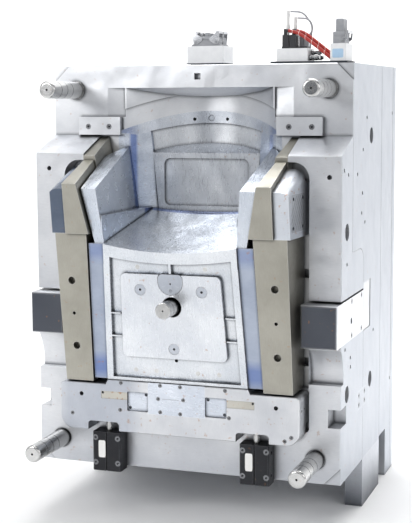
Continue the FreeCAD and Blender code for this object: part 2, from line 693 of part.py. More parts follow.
def spacer_rail():
    """Right spacer rail, with an open notch at its foot; the clamp slot runs down its side."""
    rail = bevel_near(box(HALF_W - RAIL_W, HALF_W, SUPPORT_Y, RAIL_Y, -FOOT_H, PLATE_H), EDGE, is_side_edge)
    notch = box(HALF_W - RAIL_W - 1, HALF_W + 1, SUPPORT_Y - 1, SUPPORT_Y + RAIL_NOTCH_T, -FOOT_H - 1,
                RAIL_NOTCH_Z)
    slot = box(HALF_W - 8, HALF_W + 1, RAIL_Y - 10, RAIL_Y + 1, NOTCH_Z, PLATE_H + 1)
    holes = side_holes((), [(RAIL_Y - 14, z) for z in (NOTCH_Z, PLATE_H - 175.0)])
    return cut_all(rail, [notch, slot] + holes)


def clamp_plate():
    plate = bevel_near(box(-HALF_W, HALF_W, RAIL_Y, BACK, -FOOT_H, PLATE_H), EDGE, is_side_edge)
    tools = [cyl_y(0, z, KNOCK_OUT_D, RAIL_Y - 1, BACK + 1) for z in knock_out_heights()]
    tools.append(cyl_y(0, mid_height(), RING_D, BACK - RING_DEEP, BACK + 1))
    for x, z in guide_spots():
        tools.append(cyl_y(x, z, GUIDE_D, RAIL_Y - 1, BACK + 1))
    return cut_all(plate, tools)


def mid_height():
    return EJECT_LOW_Z + EJECT_H / 2


def knock_out_heights():
    return (KNOCK_OUT_Z, 2 * mid_height() - KNOCK_OUT_Z)


def guide_spots():
    return [(sign * GUIDE_X, z) for sign in (-1, 1) for z in GUIDE_Z]


# ---- Ejector ------------------------------------------------------------------------

def ejector_back():
    return RAIL_Y - BUTTON_T


def retainer_back():
    return ejector_back() - EJECT_T


def ejector_guides():
    return [cyl_y(x, z, GUIDE_D, SUPPORT_Y, RAIL_Y + CLAMP_T) for x, z in guide_spots()]


def ejector_plate():
    """Back plate of the ejector, with rest buttons against the clamp plate."""
    plate = box(-EJECT_HALF, EJECT_HALF, retainer_back(), ejector_back(), EJECT_LOW_Z, EJECT_LOW_Z + EJECT_H)
    plate = cut_all(plate, [cyl_y(x, z, GUIDE_D + 2 * RUN_FIT, -FAR, FAR) for x, z in guide_spots()])
    buttons = [cyl_y(x, z, BUTTON_D, ejector_back() - 5, RAIL_Y) for x in (-BUTTON_X, BUTTON_X)
               for z in BUTTON_Z]
    return [plate.fuse(buttons)]


def retainer():
    """Front plate of the ejector, which holds the pins' heads."""
    front = retainer_back() - RETAINER_T
    plate = box(-EJECT_HALF, EJECT_HALF, front, retainer_back(), EJECT_LOW_Z, EJECT_LOW_Z + EJECT_H)
    tools = [cyl_y(x, z, GUIDE_D + 2 * RUN_FIT, -FAR, FAR) for x, z in guide_spots()]
    tools += [pin_solid(x, z, EJECT_PIN_D, 0) for x, z in EJECT_PINS]
    tools.append(pin_solid(0, CENTER_PIN_Z, CENTER_PIN_D, 0))
    return [cut_all(plate, tools)]


def pin_solid(x, z, diameter, front):
    """Headed pin from a front end to the back of the retainer."""
    head_t = 10.0
    shank = cyl_y(x, z, diameter, front, retainer_back())
    return shank.fuse(cyl_y(x, z, diameter + 8, retainer_back() - head_t, retainer_back()))


def ejector_pins():
    return [pin_solid(x, z, EJECT_PIN_D, -200).cut(before_face(RECESS_DEEP)) for x, z in EJECT_PINS]


def center_pin():
    front = face_y(CENTER_PIN_Z) - CENTER_PIN_OUT
    pin = pin_solid(0, CENTER_PIN_Z, CENTER_PIN_D, front)
    pin = fillet_near(pin, 3.0, lambda mid, edge: mid.y < front + 0.5)
    groove = cyl_y(0, CENTER_PIN_Z, CENTER_PIN_D + 4, front + 34, front + 37)
    groove = groove.cut(cyl_y(0, CENTER_PIN_Z, CENTER_PIN_D - 2, front + 30, front + 40))
    return [pin.cut(groove).cut(cyl_y(0, CENTER_PIN_Z, 6, front - 1, front + 12))]


def pin_bush():
    bush = cyl_y(0, CENTER_PIN_Z, BUSH_OD, SUPPORT_Y - BUSH_L, SUPPORT_Y)
    return [bush.cut(cyl_y(0, CENTER_PIN_Z, CENTER_PIN_D + 2 * RUN_FIT, -FAR, FAR))]


# ---- Core: seat, front and back -----------------------------------------------------

def core_half(z):
    """Half width of the core at height z, by the taper of its front."""
    taper = (CORE_LOW_HALF - SEAT_FRONT_HALF) / (SEAT_FRONT_Z - FACE_Z)
    return CORE_LOW_HALF - taper * (z - FACE_Z)


def seat_section(y):
    """Section of the seat at depth y: its front and back sections lie on one loft."""
    front = face_y(SEAT_FRONT_Z)
    share = (y - front) / (SEAT_BACK_Y - front)
    half = SEAT_FRONT_HALF + (SEAT_BACK_HALF - SEAT_FRONT_HALF) * share
    edge_z = SEAT_FRONT_Z + (SEAT_BACK_Z - SEAT_FRONT_Z) * share
    sag = SEAT_SAG + (SEAT_BACK_SAG - SEAT_SAG) * share
    low_half = half + core_half(CORE_BLOCK_Z) - SEAT_FRONT_HALF
    left, right = V(-half, y, edge_z), V(half, y, edge_z)
    low_left, low_right = V(-low_half, y, CORE_BLOCK_Z), V(low_half, y, CORE_BLOCK_Z)
    dip = Part.Arc(right, V(0, y, edge_z - sag), left).toShape()
    return Part.Wire([Part.makeLine(low_left, low_right), Part.makeLine(low_right, right), dip,
                      Part.makeLine(left, low_left)])


def d_outline(clearance, deep):
    half, top = D_HALF + clearance, D_TOP_Z + clearance
    low = D_TOP_Z - D_H + D_HALF
    block = front_outline([(-half, top), (half, top), (half, low), (0, low - half, True), (-half, low)],
                          -300, 100)
    block = fillet_near(block, 16.0, lambda mid, edge: is_along(edge, 1) and mid.z > top - 1)
    return block.common(before_face(deep))


def recess_outline():
    top = PANEL_TOP_Z + 54
    low = CORE_FOOT_Z + 10
    return front_outline([(-core_half(low) + 22, low), (core_half(low) - 22, low), (core_half(top) - 22, top),
                          (0, top - SEAT_SAG * 0.7, True), (-core_half(top) + 22, top)], -300, 100)


def rib(x0, x1, z):
    return both(box(x0, x1, -300, 100, z, z + RIB_T))


def seat_core():
    seat = Part.makeLoft([seat_section(CORE_START_Y), seat_section(SEAT_BACK_Y)], True, True)
    low = front_outline([(-core_half(BED_LOW_Z), BED_LOW_Z), (core_half(BED_LOW_Z), BED_LOW_Z),
                         (core_half(CORE_BLOCK_Z), CORE_BLOCK_Z), (-core_half(CORE_BLOCK_Z), CORE_BLOCK_Z)],
                        CORE_START_Y, FRONT_T)
    heel = box(-SEAT_BACK_HALF, SEAT_BACK_HALF, SEAT_BACK_Y - 20, FRONT_T, CORE_BLOCK_Z - 10, BACK_FOOT_Z)
    core = low.fuse([seat, heel]).cut(before_face())
    core = core.cut(box(-FAR, FAR, -FAR, 0, 0, CORE_FOOT_Z))
    recess = recess_outline().common(before_face(RECESS_DEEP))
    ribs = [box(-RIB_T, RIB_T, -300, 100, PANEL_TOP_Z, FAR)]
    for z in RIB_HEIGHTS:
        ribs += rib(PANEL_LOW_HALF, core_half(PANEL_LOW_Z), z)
    core = core.cut(cut_all(recess, ribs))
    core = core.cut(d_outline(D_GAP, D_T))
    core = core.cut(cyl_y(0, CENTER_PIN_Z, CENTER_HOLE_D, -300, FAR))
    core = core.cut(cyl_y(0, PANEL_LOW_Z - 9, 12.0, -300, face_y(PANEL_LOW_Z) + RECESS_DEEP + 30))
    return [cut_all(core, [cyl_y(x, z, EJECT_PIN_D + 2 * RUN_FIT, -300, FAR) for x, z in EJECT_PINS])]


def plug_spots():
    return [(-PLUG_X, PLUG_Z), (PLUG_X, PLUG_Z), (0, PLUG_LOW_Z)]


def front_panel():
    panel = front_outline([(-PANEL_LOW_HALF, PANEL_LOW_Z), (PANEL_LOW_HALF, PANEL_LOW_Z),
                           (PANEL_TOP_HALF, PANEL_TOP_Z), (-PANEL_TOP_HALF, PANEL_TOP_Z)], -300, 100)
    panel = fillet_near(panel, PANEL_R, lambda mid, edge: is_along(edge, 1))
    panel = panel.common(before_face(RECESS_DEEP)).cut(before_face(-PANEL_PROUD))
    panel = panel.cut(d_outline(D_GAP, D_T))
    tools = [cyl_y(x, z, PLUG_D + 2 * PLUG_GAP, -300, 100) for x, z in plug_spots()]
    tools.append(cyl_y(0, CENTER_PIN_Z, CENTER_HOLE_D, -300, 100))
    return [cut_all(panel, tools)]


def panel_plugs():
    plugs = []
    for x, z in plug_spots():
        plug = cyl_y(x, z, PLUG_D, -300, 100).common(before_face(RECESS_DEEP))
        plug = plug.cut(before_face(-PANEL_PROUD + 0.8))
        plugs.append(plug.cut(cyl_y(x, z, 9.0, -300, face_y(z) + 8)))
    return plugs


def d_insert():
    """D-shaped changeable insert with two screws, a centre hole and a small turned stamp."""
    insert = d_outline(0, D_T).cut(before_face(-PANEL_PROUD))
    tools = [cyl_y(0, D_SCREW_Z, 6.0, -300, face_y(D_SCREW_Z) + 15)]
    for spot in d_screw_spots():
        tools.append(screw_space(spot, (0, 1, 0), shank_l=10.0))
    tools.append(cyl_y(0, D_SCREW_Z - 24, 13.0, -300, face_y(D_SCREW_Z) + 2))
    return [cut_all(insert, tools)]


def d_screw_spots():
    return [V(x, face_y(D_SCREW_Z) - PANEL_PROUD + 2.0, D_SCREW_Z) for x in (-26.0, 26.0)]


def core_strip():
    """Blue-dyed strip between the core and the right side slide."""
    low_out, top_out = RAIL_IN_LOW_X - STRIP_GAP, RAIL_IN_TOP_X - STRIP_GAP
    strip = front_outline([(core_half(BED_LOW_Z), BED_LOW_Z), (low_out, BED_LOW_Z), (top_out, ARM_CORE_LOW_Z),
                           (core_half(ARM_CORE_LOW_Z), ARM_CORE_LOW_Z)], -300, FRONT_T)
    return strip.cut(before_face(STRIP_SET)).cut(box(-FAR, FAR, -FAR, 0, 0, CORE_FOOT_Z))


def arch_band():
    """Front outline of the arch insert, pulled right through the pocket."""
    return front_outline([(-ARCH_END_X, ARCH_END_Z), (-ARCH_IN_X, ARCH_IN_Z),
                          (0, ARCH_IN_Z + ARCH_IN_RISE, True), (ARCH_IN_X, ARCH_IN_Z),
                          (ARCH_END_X, ARCH_END_Z), (0, ARCH_END_Z + ARCH_RISE, True)], 0, POCKET_Y)


def keeper_space():
    """Room for the keeper bars in front of the support plate's face."""
    return both(box(KEEPER_X - GAP, FAR, -FAR, TOP_FACE_Y + GAP, KEEPER_Z - GAP, KEEPER_Z + KEEPER_H + GAP))


def arch_insert():
    band = arch_band().cut(back_wall(BACK_R, 0, FAR))
    holes = [cyl_y(x, ARCH_END_Z + 45, 12.0, 0, BACK_Y + 40) for x in (-62.0, 62.0)]
    holes += keeper_space()
    return [cut_all(band, holes + [cyl_y(0, ARCH_END_Z + 49, 24.0, 0, BACK_Y + 3)])]


def under_band():
    """The part of the insert pocket below the arch."""
    return under_arch(ARCH_END_X, ARCH_END_Z, ARCH_RISE, BACK_FOOT_Z, 0, POCKET_Y).cut(arch_band())


def back_half(z):
    """Half width of the back insert at height z."""
    taper = (BACK_TOP_HALF - BACK_LOW_HALF) / (ARCH_IN_Z - BACK_FOOT_Z)
    return BACK_LOW_HALF + taper * (z - BACK_FOOT_Z)


def back_outline(y0, y1):
    top = ARCH_IN_Z + ARCH_IN_RISE
    return front_outline([(-back_half(BACK_FOOT_Z), BACK_FOOT_Z), (back_half(BACK_FOOT_Z), BACK_FOOT_Z),
                          (back_half(top), top), (-back_half(top), top)], y0, y1)


def back_insert():
    """Flat lower panel with a framed field, and a concave panel set back above a slope."""
    block = back_outline(SEAT_BACK_Y, POCKET_Y).common(under_band())
    reach = BACK_Y + BACK_STEP
    hollow = back_wall(BACK_R + BACK_STEP, SHELF_Z, FAR)
    slope = side_outline([(SEAT_BACK_Y - 1, SHELF_Z), (SEAT_BACK_Y, SHELF_Z), (reach, SHELF_Z + SHELF_RUN),
                          (reach, FAR), (SEAT_BACK_Y - 1, FAR)], -FAR, FAR)
    block = block.cut(hollow.common(slope))
    field = rounded_front_box(-FRAME_HALF, FRAME_HALF, SEAT_BACK_Y - 1, SEAT_BACK_Y + FRAME_DEEP, FRAME_LOW_Z,
                              FRAME_TOP_Z, FRAME_R)
    return [block.cut(field)]


def back_pillar():
    """Right pillar beside the back insert, on the same concave wall as the arch."""
    outline = front_outline([(back_half(BACK_FOOT_Z), BACK_FOOT_Z), (ARCH_END_X, BACK_FOOT_Z),
                             (ARCH_END_X, FAR), (back_half(FAR), FAR)], 0, POCKET_Y)
    pillar = outline.common(under_band()).cut(back_wall(BACK_R, 0, FAR))
    front = box(0, THROAT_X, -FAR, TOP_FACE_Y + GAP, 0, KEEPER_Z + 1)
    return pillar.cut(front).cut(keeper_space()[0])


# ---- Arms ---------------------------------------------------------------------------

def leaning_prism(points, y, length, run=TOP_RUN):
    """Front outline pulled backward and upward, so that its top slopes."""
    return prism([(p[0], y, p[1]) + tuple(p[2:]) for p in points], (0, length, length * run))


def wedge_inner(z):
    return WEDGE_IN_X + ARM_LEAN * (z - ARM_LOW_Z)


def arm_core_inner(z):
    return ARM_CORE_IN_X + ARM_CORE_LEAN * (z - ARM_CORE_LOW_Z)


def arm_core():
    """Right arm of the chair's core: a leaning cheek with a sloping top and a toe at the seat."""
    low, top = ARM_CORE_LOW_Z, SHOULDER_Z + TOP_RUN * TOP_FACE_Y
    arm = front_outline([(arm_core_inner(low), low), (wedge_inner(low) - ARM_GAP, low),
                         (wedge_inner(top) - ARM_GAP, top), (arm_core_inner(top), top)], -300, FRONT_T)
    toe_back = SEAT_BACK_Y - 8
    edge = SEAT_FRONT_HALF + 2.5
    front = face_y(SEAT_FRONT_Z)
    slant = (SEAT_FRONT_HALF - SEAT_BACK_HALF) / (SEAT_BACK_Y - front)
    toe = plan_outline([(edge, front), (edge + 8, front), (edge + 8, toe_back),
                        (edge - slant * (toe_back - front), toe_back)], low, ARM_TOE_Z)
    arm = arm.fuse(toe).cut(before_face(ARM_CORE_SET))
    arm = arm.cut(above_slope(ARM_CORE_TOP_Z, face_y(ARM_CORE_TOP_Z, ARM_CORE_SET)))
    return arm.common(back_wall(BACK_R - GAP, 0, FAR))


def top_block():
    """Fixed ground block between the arm core and the right side block of the front plate."""
    low, top = ARM_LOW_Z, SHOULDER_Z + TOP_RUN * TOP_FACE_Y
    block = front_outline([(wedge_inner(low) - ARM_GAP, low), (THROAT_X, low), (THROAT_X, top + 50),
                           (wedge_inner(top + 50) - ARM_GAP, top + 50)], 0, TOP_FACE_Y)
    return block.cut(above_slope(SHOULDER_Z - 6))


def arm_wedge():
    """Right tan wedge in front of the parting face."""
    low, top = ARM_LOW_Z, ARM_TOP_Z
    front = face_y(top, -WEDGE_PROUD)
    wedge = front_outline([(wedge_inner(low), low), (WEDGE_OUT_X, low), (WEDGE_OUT_X, SHOULDER_Z),
                           (wedge_inner(SHOULDER_Z), SHOULDER_Z)], -300, -GAP)
    return wedge.cut(before_face(-WEDGE_PROUD)).cut(above_slope(top, front))


def arm_cheek():
    """Right outer cheek with a round shoulder; its side leans in toward the front."""
    front = face_y(CHEEK_TOP_Z)
    start = front - 40
    top = CHEEK_TOP_Z - 40 * TOP_RUN
    low = top - CHEEK_R * 8
    side = CHEEK_OUT_X - CHEEK_R
    bend = CHEEK_R * math.sqrt(0.5)
    cheek = leaning_prism([(WEDGE_OUT_X, low), (CHEEK_OUT_X, low), (CHEEK_OUT_X, top - CHEEK_R),
                           (side + bend, top - CHEEK_R + bend, True), (side, top),
                           (WEDGE_OUT_X, top)], start, BED_Y - GAP - start)
    lean = (CHEEK_OUT_X - CHEEK_NOSE_X) / -front
    outside = plan_outline([(CHEEK_OUT_X, 0), (CHEEK_OUT_X + lean * -FAR, -FAR), (FAR, -FAR), (FAR, 0)],
                           0, FAR)
    behind = box(0, FAR, -GAP, FAR, BED_TOP_Z - BED_R - 8, FAR)
    beside = box(0, THROAT_X + GAP, -GAP, FAR, 0, FAR)
    lower = box(0, FAR, -FAR, FAR, 0, ARM_LOW_Z)
    return cut_all(cheek, [outside, behind, beside, lower, before_face()]).cut(wear_plate_solid())


def wear_plate_solid():
    """Space of the right wear plate in the cheek's leaning side."""
    front = face_y(CHEEK_TOP_Z)
    lean = math.atan((CHEEK_OUT_X - CHEEK_NOSE_X) / -front)
    plate = rounded_side_box(WEAR_T, WEAR_L, WEAR_H)
    plate.rotate(V(0, 0, 0), V(0, 0, 1), -math.degrees(lean))
    plate.translate(V(CHEEK_OUT_X, 0, WEAR_Z))
    return plate.Solids[0]


def rounded_side_box(thick, length, height):
    block = box(-thick, 0, -length - 6, -6, 0, height)
    return fillet_near(block, 6.0, lambda mid, edge: is_along(edge, 0))


def wear_plate():
    """Right wear plate: slanting oil grooves and four countersunk screws' holes."""
    plate = wear_plate_solid()
    middle = plate.CenterOfMass
    tools = []
    for step in range(-3, 4):
        groove = box(-FAR, FAR, -FAR, FAR, -0.8, 0.8)
        groove.rotate(V(0, 0, 0), V(1, 0, 0), 52.0)
        groove.translate(V(0, middle.y, middle.z + step * 26.0))
        tools.append(groove.common(box(CHEEK_NOSE_X, FAR, WEAR_Y + 4, WEAR_Y + WEAR_L - 4, WEAR_Z + 6,
                                       WEAR_Z + WEAR_H - 6)).common(skin_of_plate()))
    for y in (-24.0, -WEAR_L + 12.0):
        for z in (14.0, WEAR_H - 14.0):
            tools.append(cyl_x(y, WEAR_Z + z, 12.0, CHEEK_NOSE_X, FAR))
    return plate.cut(Part.makeCompound(tools))


def skin_of_plate():
    """Outer 1.2 mm of the wear plate, which the oil grooves reach."""
    skin = wear_plate_solid()
    core = skin.copy()
    core.translate(V(-1.2, 0, 0))
    return skin.cut(core)


def side_rail():
    """Right tan slide: tilted front, two screw holes and two T keys at its back."""
    low, top = BED_LOW_Z + 1.0, ARM_LOW_Z
    rail = front_outline([(RAIL_IN_LOW_X, low), (RAIL_OUT_X, low), (RAIL_OUT_X, top),
                          (RAIL_IN_TOP_X, top)], -300, BED_Y - GAP).cut(before_face())
    rail = rail.cut(box(-FAR, FAR, -GAP, FAR, ARM_LOW_Z - 1.0, FAR))
    for z in KEY_Z:
        neck = box(KEY_X0, KEY_X0 + KEY_L, BED_Y - 2, BED_Y + KEY_NECK_T, z - KEY_NECK / 2, z + KEY_NECK / 2)
        head = box(KEY_X0, KEY_X0 + KEY_L, BED_Y + KEY_NECK_T, BED_Y + KEY_NECK_T + KEY_HEAD_T - GAP,
                   z - KEY_HEAD / 2, z + KEY_HEAD / 2)
        rail = rail.fuse([neck, head])
    tools = []
    for z in RAIL_HOLES_Z:
        tools.append(cyl_y(RAIL_HOLE_X, z, RAIL_HOLE_D, -300, face_y(z) + 24))
    middle = sum(RAIL_HOLES_Z) / 2
    tools.append(cyl_y(RAIL_HOLE_X, middle, 12.0, -300, face_y(middle) + 20))
    return cut_all(rail, tools)


# ---- Bottom slide and its cylinders ---------------------------------------------------

def bottom_slide():
    """Wide slide under the core: raised middle, round lower corners, notches over the cylinders."""
    ramp = 8.0
    outline = [(-SLIDE_HALF, SLIDE_LOW_Z), (SLIDE_HALF, SLIDE_LOW_Z), (SLIDE_HALF, SLIDE_END_Z),
               (SLIDE_MID_HALF + ramp, SLIDE_END_Z), (SLIDE_MID_HALF, SLIDE_TOP_Z),
               (-SLIDE_MID_HALF, SLIDE_TOP_Z), (-SLIDE_MID_HALF - ramp, SLIDE_END_Z),
               (-SLIDE_HALF, SLIDE_END_Z)]
    slide = front_outline(outline, SLIDE_FRONT_Y, SLIDE_BED_Y - GAP)
    slide = fillet_near(slide, SLIDE_R, lambda mid, edge: is_along(edge, 1) and mid.z < SLIDE_LOW_Z + 1)
    slide = fillet_near(slide, 14.0, lambda mid, edge: is_along(edge, 1) and abs(mid.x) > SLIDE_HALF - 1
                        and mid.z > SLIDE_END_Z - 1)
    slide = bevel_near(slide, SLIDE_EDGE, lambda mid, edge: mid.y < SLIDE_FRONT_Y + 1)
    tools = [box(-FAR, FAR, -GAP, FAR, 0, SLIDE_STEP_Z), box(-FAR, FAR, -GAP, FAR, BED_LOW_Z - 1, FAR)]
    notch = rounded_front_box(CYL_X - SLIDE_NOTCH_HALF, CYL_X + SLIDE_NOTCH_HALF, SLIDE_FRONT_Y - 1, 0,
                              SLIDE_LOW_Z - 40, SLIDE_NOTCH_Z, 12.0)
    window = rounded_front_box(WINDOW_X, WINDOW_X + WINDOW_W, SLIDE_FRONT_Y - 1, SLIDE_FRONT_Y + WINDOW_DEEP,
                               WINDOW_Z, WINDOW_Z + WINDOW_H, 5.0)
    bar = box(WINDOW_X + WINDOW_W, WINDOW_X + WINDOW_W + BAR_L, SLIDE_FRONT_Y - 1, SLIDE_FRONT_Y + BAR_DEEP,
              BAR_Z, BAR_Z + BAR_H)
    rod = cyl_z(CYL_X, -CYL_T / 2, ROD_D, SLIDE_NOTCH_Z - 1, SLIDE_NOTCH_Z + ROD_SEAT)
    eye = cyl_y(351.0, 267.0, 15.0, SLIDE_FRONT_Y - 1, SLIDE_FRONT_Y + 25)
    for piece in [notch, window, bar, rod, eye]:
        tools += both(piece)
    tools.append(box(-WINDOW_X, WINDOW_X, SLIDE_FRONT_Y - 1, SLIDE_FRONT_Y + MID_PLATE_T, MID_PLATE_Z,
                     SLIDE_TOP_Z + 1))
    tools += [slide_screw_space(spot) for spot in slide_screw_spots()]
    tools += [cyl_x(-14.0, 256.0, 9.0, SLIDE_HALF - 20, FAR), cyl_x(-50.0, 256.0, 9.0, SLIDE_HALF - 20, FAR)]
    slide = cut_all(slide, tools)
    keys = both(bottom_key(0, SLIDE_STEP_Z, BED_LOW_Z - 12))
    return [slide.fuse(keys)]


def slide_screw_spots():
    """Fronts of the screws in the slide and in its middle plate."""
    return [V(x, SLIDE_FRONT_Y, z) for x, z in SLIDE_SCREWS]


def slide_screw_space(spot):
    return screw_space(spot, (0, 1, 0), SLIDE_SCREW_D, 10.0, 8.0, 22.0)


def slide_screws():
    return [cap_screw(spot + V(0, 1, 0), (0, 1, 0), SLIDE_SCREW_D, 9.0, 8.0, 22.0)
            for spot in slide_screw_spots()]


def slide_center_plate():
    plate = box(-WINDOW_X, WINDOW_X, SLIDE_FRONT_Y, SLIDE_FRONT_Y + MID_PLATE_T, MID_PLATE_Z, SLIDE_TOP_Z)
    middle = (MID_PLATE_Z + SLIDE_TOP_Z) / 2
    groove = box(-52, 12, SLIDE_FRONT_Y - 1, SLIDE_FRONT_Y + 1, middle, middle + 1.5)
    return [cut_all(plate, [groove] + [slide_screw_space(spot) for spot in slide_screw_spots()])]


def slide_insert():
    """Right window's insert: a block whose face lies back in the window, with a low step."""
    y0 = SLIDE_FRONT_Y + 7
    block = rounded_front_box(WINDOW_X, WINDOW_X + WINDOW_W, y0, SLIDE_FRONT_Y + WINDOW_DEEP,
                              WINDOW_Z, WINDOW_Z + WINDOW_H, 5.0)
    corner = cyl_y(WINDOW_X + 9, WINDOW_Z + WINDOW_H - 9, 12.0, y0 - 1, y0 + 9)
    low = cyl_y(WINDOW_X + WINDOW_W - 9, WINDOW_Z + 11, 12.0, y0 - 1, y0 + 9)
    return block.cut(corner).cut(low)


def slide_bar():
    x0 = WINDOW_X + WINDOW_W
    bar = box(x0, x0 + BAR_L, SLIDE_FRONT_Y + 1, SLIDE_FRONT_Y + BAR_DEEP, BAR_Z, BAR_Z + BAR_H)
    hole_x, hole_z = x0 + BAR_L - 6, BAR_Z + BAR_H - 6
    return bar.cut(cyl_y(hole_x, hole_z, 9.0, SLIDE_FRONT_Y - 1, SLIDE_FRONT_Y + BAR_DEEP + 1))


def cylinder_screw_spots():
    return [V(CYL_X + side * CYL_SCREW_X, -CYL_T, z) for side in (-1, 1) for z in CYL_SCREW_Z]


def cylinder():
    """Right block cylinder with a groove down its front, beveled side edges and a rod bore."""
    block = plan_outline([(CYL_X - CYL_W / 2, 0), (CYL_X - CYL_W / 2, -CYL_T), (CYL_X + CYL_W / 2, -CYL_T),
                          (CYL_X + CYL_W / 2, 0)], CYL_LOW_Z, CYL_LOW_Z + CYL_H)
    block = bevel_near(block, 4.0, lambda mid, edge: is_along(edge, 2) and mid.y < -CYL_T + 1)
    top = CYL_LOW_Z + CYL_H
    tools = [box(CYL_X - CYL_GROOVE / 2, CYL_X + CYL_GROOVE / 2, -CYL_T - 1, -CYL_T + 4, CYL_LOW_Z - 1,
                 top + 1),
             cyl_z(CYL_X, -CYL_T / 2, ROD_D + 2 * RUN_FIT, top - CYL_BORE, top + 1)]
    for spot in cylinder_screw_spots():
        tools.append(screw_space(spot, (0, 1, 0), shank_l=CYL_T))
    for z in (CYL_LOW_Z + 30, top - 30):
        tools.append(cyl_x(-CYL_T / 2, z, PORT_D, CYL_X + CYL_W / 2 - 20, FAR))
    return cut_all(block, tools)


def cylinder_screws():
    screws = [cap_screw(spot, (0, 1, 0), shank_l=CYL_SCREW_L - HEAD_T) for spot in cylinder_screw_spots()]
    return screws + [mirrored(screw) for screw in screws]


def piston_rod():
    """Right rod, screwed into the slide and running in the cylinder."""
    top = CYL_LOW_Z + CYL_H
    return cyl_z(CYL_X, -CYL_T / 2, ROD_D, top - ROD_IN, SLIDE_NOTCH_Z + ROD_SEAT)


# ---- Guide pillars, interlocks, keepers and screws ------------------------------------

def guide_pillar(z, face):
    """Right pillar standing out of the face at depth `face`: round nose, oil rings, centre hole."""
    front = face - PILLAR_OUT
    pillar = cyl_y(PILLAR_X, z, PILLAR_D, front, face + PILLAR_SEAT)
    pillar = fillet_near(pillar, PILLAR_NOSE, lambda mid, edge: mid.y < front + 1)
    for y in (front + 60, front + 105, front + 150):
        ring = cyl_y(PILLAR_X, z, PILLAR_D + 4, y, y + 3).cut(cyl_y(PILLAR_X, z, PILLAR_D - 3, y - 1, y + 4))
        pillar = pillar.cut(ring)
    return pillar.cut(cyl_y(PILLAR_X, z, 8.0, front - 1, front + 14))


def collared_pillar(z, face):
    return guide_pillar(z, face).fuse(cyl_y(PILLAR_X, z, COLLAR_D, face - COLLAR_T, face))


def interlock_screw_spots():
    inset = 13.0
    return [V(HALF_W, y, z) for y in (156.0, INTERLOCK_LEN - 28.0)
            for z in (INTERLOCK_Z + inset, INTERLOCK_Z + INTERLOCK_H - inset)]


def interlock():
    """Right interlock: a hardened block with a beveled nose, held from the side."""
    top = INTERLOCK_Z + INTERLOCK_H
    block = box(INTERLOCK_X, HALF_W, -INTERLOCK_OUT, INTERLOCK_LEN, INTERLOCK_Z, top)
    block = bevel_near(block, 5.0, lambda mid, edge: mid.y < -INTERLOCK_OUT + 1)
    tools = [cyl_x(150.0, (INTERLOCK_Z + top) / 2 - 8, 22.0, HALF_W - 40, FAR)]
    for spot in interlock_screw_spots():
        tools.append(screw_space(spot, (-1, 0, 0)))
    return cut_all(block, tools)


def keeper():
    """Right keeper bar over the top block and the side block."""
    bar = box(KEEPER_X, KEEPER_X + KEEPER_W, TOP_FACE_Y - KEEPER_T, TOP_FACE_Y, KEEPER_Z, KEEPER_Z + KEEPER_H)
    bar = bar.cut(above_slope(SHOULDER_Z).common(front_plate_outside()))
    return cut_all(bar, [screw_space(spot, (0, 1, 0)) for spot in keeper_screw_spots()])


def strap():
    """Right transport strap across the joint between the two plates."""
    plate = box(HALF_W - STRAP_T, HALF_W, STRAP_Y, STRAP_Y + STRAP_L, STRAP_Z, STRAP_Z + STRAP_H)
    return cut_all(plate, [screw_space(spot, (-1, 0, 0)) for spot in strap_screw_spots()])


def cap_screws():
    screws = [cap_screw(spot, (0, 1, 0)) for spot in keeper_screw_spots()]
    screws += [cap_screw(spot, (-1, 0, 0)) for spot in strap_screw_spots() + interlock_screw_spots()]
    screws += [mirrored(screw) for screw in screws]
    return screws + [cap_screw(spot, (0, 1, 0), shank_l=10.0) for spot in d_screw_spots()]


# ---- Services on the top edge -------------------------------------------------------

def box_top():
    return PLATE_H + BOX_FEET + BOX_H


def hood_starts():
    first = BOX_Y + (BOX_L - HOOD_PITCH - HOOD_L) / 2
    return (first, first + HOOD_PITCH)


def foot_blocks(x0, x1, y0, y1):
    size = 14.0
    return [box(x, x + size, y, y + size, PLATE_H, PLATE_H + BOX_FEET)
            for x in (x0 + 12, x1 - 12 - size) for y in (y0 + 8, y1 - 8 - size)]


def junction_boxes():
    base = PLATE_H + BOX_FEET
    big = box(BOX_X, BOX_X + BOX_W, BOX_Y, BOX_Y + BOX_L, base, box_top())
    big = fillet_near(big, 3.0, lambda mid, edge: is_along(edge, 2))
    small = box(SMALL_BOX_X, SMALL_BOX_X + SMALL_BOX_W, TRAY_Y + 2, TRAY_Y + 2 + SMALL_BOX_L, base,
                base + SMALL_BOX_H)
    return [big, fillet_near(small, 3.0, lambda mid, edge: is_along(edge, 2))]


def hood_x():
    return BOX_X + BOX_W / 2


def pivot_z():
    return box_top() + 14.0


def hood(y):
    """Die-cast connector housing with a base flange, a middle post and four pivot studs."""
    mid, top = hood_x(), box_top() + HOOD_H
    body = box(mid - HOOD_W / 2 + 6, mid + HOOD_W / 2 - 6, y, y + HOOD_L, box_top(), top)
    body = fillet_near(body, 5.0, lambda m, edge: m.z > top - 1)
    flange = box(mid - HOOD_W / 2, mid + HOOD_W / 2, y, y + HOOD_L, box_top(), box_top() + 6)
    post = box(mid - 6, mid + 6, y + 8, y + HOOD_L - 8, top - 1, top + 14)
    studs = [cyl_y(mid + side * LEVER_PIVOT, pivot_z(), LEVER_PIN_D, y - STUD_L, y + HOOD_L + STUD_L)
             for side in (-1, 1)]
    slot = box(mid - 30, mid + 30, y - 1, y + 2, box_top() + 20, box_top() + 23)
    return body.fuse([flange, post] + studs).cut(slot)


